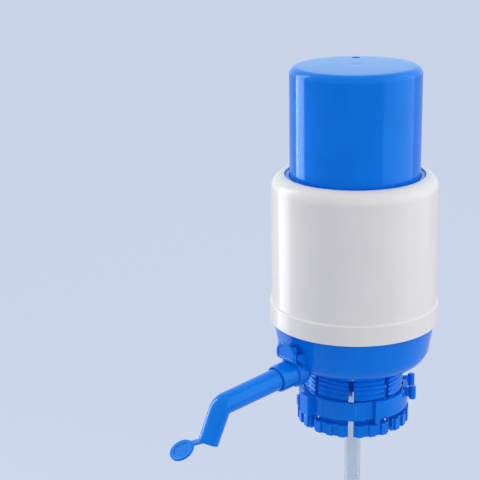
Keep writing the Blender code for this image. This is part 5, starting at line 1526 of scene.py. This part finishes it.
class PUMP_OT_seals(PieceOperator, bpy.types.Operator):
    """Makes the rubber gasket that the pump rests on and the grommet round the elbow"""

    bl_idname = "pump.seals"
    bl_label = "Seals"

    def execute(self, context):
        fit, bowl, tube = setting("fit"), setting("bowl"), setting("tube")
        low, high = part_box("bottle_gasket")
        outer, inner, edge = high.x, bowl.gasket_bore, fit.edge * 3 / 2
        corners = [(outer, high.z, edge), (outer, low.z, edge), (inner, low.z, edge), (inner, high.z, edge)]
        dress(lathe("gasket", rounded(corners)), "white_rubber", "base", "bottle_gasket")
        low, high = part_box("elbow_grommet")
        body = bowl.floor_hole - fit.seal_gap
        bore = tube.riser_radius + fit.seal_gap
        under = bowl.underside - fit.seal_gap
        over = bowl.underside + bowl.floor + fit.seal_gap
        corners = [
            (high.x, high.z, fit.edge),
            (high.x, over, 0),
            (body, over, 0),
            (body, under, 0),
            (high.x, under, 0),
            (high.x, low.z, fit.edge),
            (bore, low.z, fit.edge),
            (bore, high.z, fit.edge),
        ]
        dress(lathe("grommet", rounded(corners), SMALL_TURN_STEPS), "white_rubber", "base", "elbow_grommet")
        return {"FINISHED"}


class PUMP_OT_bellows(PieceOperator, bpy.types.Operator):
    """Makes the pleated bellows and the return spring inside it"""

    bl_idname = "pump.bellows"
    bl_label = "Bellows and Spring"

    def execute(self, context):
        self.make_bellows()
        self.make_spring()
        return {"FINISHED"}

    def make_bellows(self):
        bellows = setting("bellows")
        low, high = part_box("bellows")
        head_low, head_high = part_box("bellows_head")
        half = bellows.wall / 2
        crest = cap_radius() - setting("cap").wall - bellows.clearance - half
        flange = low.z + bellows.flange
        bottom = flange + bellows.neck * 2
        rise = head_low.z - bellows.neck - bottom
        total = bellows.pleats * bellows.pleat_steps
        middle = []
        for i in range(total + 1):
            fall = (1 - math.cos(math.tau * i / bellows.pleat_steps)) / 2
            middle.append((crest - bellows.pleat * fall, bottom + rise * i / total))
        neck_radius = middle[-1][0]
        outer = [(neck_radius + half, high.z)]
        outer += [(radius + half, level) for radius, level in reversed(middle)]
        outer += [(crest + half, flange), (high.x, flange), (high.x, low.z)]
        inner = [(crest - half, low.z)] + [(radius - half, level) for radius, level in middle]
        piece = lathe("bellows_fine", [*outer, *inner, (neck_radius - half, high.z)])
        dress(piece, "white_rubber", "base", "bellows")
        self.shorten(piece, low.z, head_high.z)

    def make_spring(self):
        bellows = setting("bellows")
        low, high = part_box("return_spring")
        steps = bellows.turns * bellows.turn_steps
        foot, head = low.z + bellows.wire, high.z - bellows.wire
        centres = []
        for i in range(steps + 1):
            part = i / steps
            rise = part - math.sin(math.tau * part) / math.tau * bellows.end_ease
            turn = math.tau * i / bellows.turn_steps
            centres.append(around(turn, bellows.spring_radius, foot + (head - foot) * rise))
        sections = []
        for i, centre in enumerate(centres):
            way = (centres[min(i + 1, steps)] - centres[max(i - 1, 0)]).normalized()
            out = Vector((centre.x, centre.y, 0)).normalized()
            up = way.cross(out).normalized()
            sections.append(circle(centre, out, up, bellows.wire, WIRE_TURN_STEPS))
        spring = loft("spring_fine", sections)
        dress(spring, "steel", "base", "return_spring")
        self.shorten(spring, low.z, high.z)

    def shorten(self, piece, low, high):
        """Gives a piece its own copy of its mesh."""
        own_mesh(piece)


class PUMP_OT_inner_parts(PieceOperator, bpy.types.Operator):
    """Gives the pieces inside their own finishes"""

    bl_idname = "pump.inner_parts"
    bl_label = "Inner Parts"

    def execute(self, context):
        slots = {row["node"]: row["material_slot"] for row in frame["record"]["subparts"]}
        for name, piece in frame["nodes"].items():
            if piece.hide_render:
                continue
            piece.data.materials.clear()
            piece.data.materials.append(finish(slots[name]))
        return {"FINISHED"}


# Stage


def maths(tree, operation, *values):
    """A maths node over numbers and other nodes' outputs."""
    made = tree.nodes.new("ShaderNodeMath")
    made.operation = operation
    for socket, value in zip(made.inputs, values):
        put(tree, socket, value)
    return made


def seen_factor(tree, straight, glossy):
    """A factor for rays that come straight from the camera, or by gloss or through clear pieces."""
    path = tree.nodes.new("ShaderNodeLightPath").outputs
    direct = maths(tree, "MAXIMUM", path["Is Camera Ray"], path["Is Transmission Ray"])
    part = maths(tree, "MULTIPLY", direct.outputs[0], straight)
    total = maths(tree, "MULTIPLY_ADD", path["Is Glossy Ray"], glossy, part.outputs[0])
    total.use_clamp = True
    return total.outputs[0]


def mixed(tree, factor, first, second):
    """Joins two shaders by a factor."""
    mix = tree.nodes.new("ShaderNodeMixShader")
    for socket, made in zip(mix.inputs[1:], (first, second)):
        tree.links.new(made.outputs[0], socket)
    tree.links.new(factor, mix.inputs[0])
    return mix


def backdrop(tree, tone, strength=1.0):
    return node(tree, "ShaderNodeBackground", color=(*tone, 1.0), strength=strength)


class PUMP_OT_stage(PieceOperator, bpy.types.Operator):
    """Sets the floor, the lamps and the camera"""

    bl_idname = "pump.stage"
    bl_label = "Stage"

    def execute(self, context):
        scene, stage = context.scene, setting("stage")
        scene.view_settings.view_transform = "Standard"
        self.make_camera(scene, stage)
        for name in ("key", "slit", "fill"):
            self.make_lamp(scene, stage, name)
        self.make_sky(scene, stage)
        self.make_floor(stage)
        return {"FINISHED"}

    def make_lamp(self, scene, stage, name):
        """A tall soft lamp round the pump at an angle from the camera's side, facing the axis."""
        lamps = setting("lamps")
        parts = ("_turn", "_reach", "_width", "_height", "_glow")
        turn, reach, width, height, glow = (getattr(lamps, name + part) for part in parts)
        light = bpy.data.lights.new(name, "AREA")
        light.shape = "RECTANGLE"
        light.size, light.size_y = width, height
        light.energy = glow * math.pi * width * height
        made = bpy.data.objects.new(name, light)
        scene.collection.objects.link(made)
        made.location = around(stage.azimuth + turn, reach, cad_low.z + lamps.floor_gap + height / 2)
        inward = Vector((-made.location.x, -made.location.y, 0))
        made.rotation_euler = inward.to_track_quat("-Z", "Y").to_euler()

    def make_camera(self, scene, stage):
        camera = bpy.data.cameras.new("camera")
        camera.lens = stage.lens
        camera.sensor_width = stage.sensor
        rig = bpy.data.objects.new("camera", camera)
        scene.collection.objects.link(rig)
        yaw, pitch, roll = stage.yaw, stage.pitch, stage.roll
        level, fall = math.cos(pitch), -math.sin(pitch)
        forward = Vector((math.sin(yaw) * level, math.cos(yaw) * level, fall))
        right = Vector((math.cos(yaw), -math.sin(yaw), 0))
        up = right.cross(forward)
        rolled = right * math.cos(roll) + up * math.sin(roll)
        turn = Matrix((rolled, rolled.cross(forward), -forward)).transposed().to_4x4()
        stand = Matrix.Translation((0, -stage.distance, stage.camera_level))
        rig.matrix_world = Matrix.Rotation(stage.azimuth, 4, "Z") @ stand @ turn
        scene.camera = rig

    def make_sky(self, scene, stage):
        world = bpy.data.worlds.new("world")
        scene.world = world
        world.use_nodes = True
        tree = world.node_tree
        tree.nodes.remove(tree.nodes["Background"])
        light = backdrop(tree, stage.sky_colour, stage.sky_strength)
        lit = mixed(tree, seen_factor(tree, 0.0, 1.0), light, backdrop(tree, stage.sky_gloss))
        seen = mixed(tree, seen_factor(tree, 1.0, 0.0), lit, backdrop(tree, stage.sky_seen))
        tree.links.new(seen.outputs[0], tree.nodes["World Output"].inputs["Surface"])

    def make_floor(self, stage):
        reach, level = stage.floor_reach, cad_low.z
        corners = ((-reach, -reach), (reach, -reach), (reach, reach), (-reach, reach))
        floor = mesh_object("floor", [(*corner, level) for corner in corners], [(0, 1, 2, 3)])
        material = bpy.data.materials.new("floor")
        material.use_nodes = True
        tree = material.node_tree
        shader = tree.nodes["Principled BSDF"]
        shader.inputs["Base Color"].default_value = (*stage.floor_colour, 1.0)
        shader.inputs["Roughness"].default_value = stage.floor_rough
        shader.inputs["Specular IOR Level"].default_value = 0.0
        glow = node(tree, "ShaderNodeEmission", color=(*stage.floor_glow, 1.0))
        seen = mixed(tree, seen_factor(tree, stage.glow_share, stage.gloss_share), shader, glow)
        tree.links.new(seen.outputs[0], tree.nodes["Material Output"].inputs["Surface"])
        floor.data.materials.append(material)


class PUMP_PT_panel(bpy.types.Panel):
    """Lists the pump's pieces"""

    bl_label = "Hand Pump"
    bl_idname = "PUMP_PT_panel"
    bl_space_type = "VIEW_3D"
    bl_region_type = "UI"
    bl_category = "Hand Pump"

    def draw(self, context):
        for operator in OPERATORS:
            self.layout.operator(operator.bl_idname)


OPERATORS = (
    PUMP_OT_outer_shell,
    PUMP_OT_press_cap,
    PUMP_OT_cap_retainer,
    PUMP_OT_base_housing,
    PUMP_OT_clamp_ring,
    PUMP_OT_spout,
    PUMP_OT_dust_cap,
    PUMP_OT_vent_lever,
    PUMP_OT_water_tube,
    PUMP_OT_seals,
    PUMP_OT_bellows,
    PUMP_OT_inner_parts,
    PUMP_OT_stage,
)


def register():
    for made in (*GROUPS.values(), *OPERATORS, PUMP_PT_panel):
        bpy.utils.register_class(made)
    for name, group in GROUPS.items():
        setattr(bpy.types.Scene, PREFIX + name, bpy.props.PointerProperty(type=group))


def unregister():
    for name in GROUPS:
        delattr(bpy.types.Scene, PREFIX + name)
    for made in (PUMP_PT_panel, *OPERATORS, *GROUPS.values()):
        bpy.utils.unregister_class(made)


def main():
    register()
    bpy.ops.pump.outer_shell()
    bpy.ops.pump.press_cap()
    bpy.ops.pump.cap_retainer()
    bpy.ops.pump.base_housing()
    bpy.ops.pump.clamp_ring()
    bpy.ops.pump.spout()
    bpy.ops.pump.dust_cap()
    bpy.ops.pump.vent_lever()
    bpy.ops.pump.water_tube()
    bpy.ops.pump.seals()
    bpy.ops.pump.bellows()
    bpy.ops.pump.inner_parts()
    bpy.ops.pump.stage()


if __name__ == "__main__":
    main()
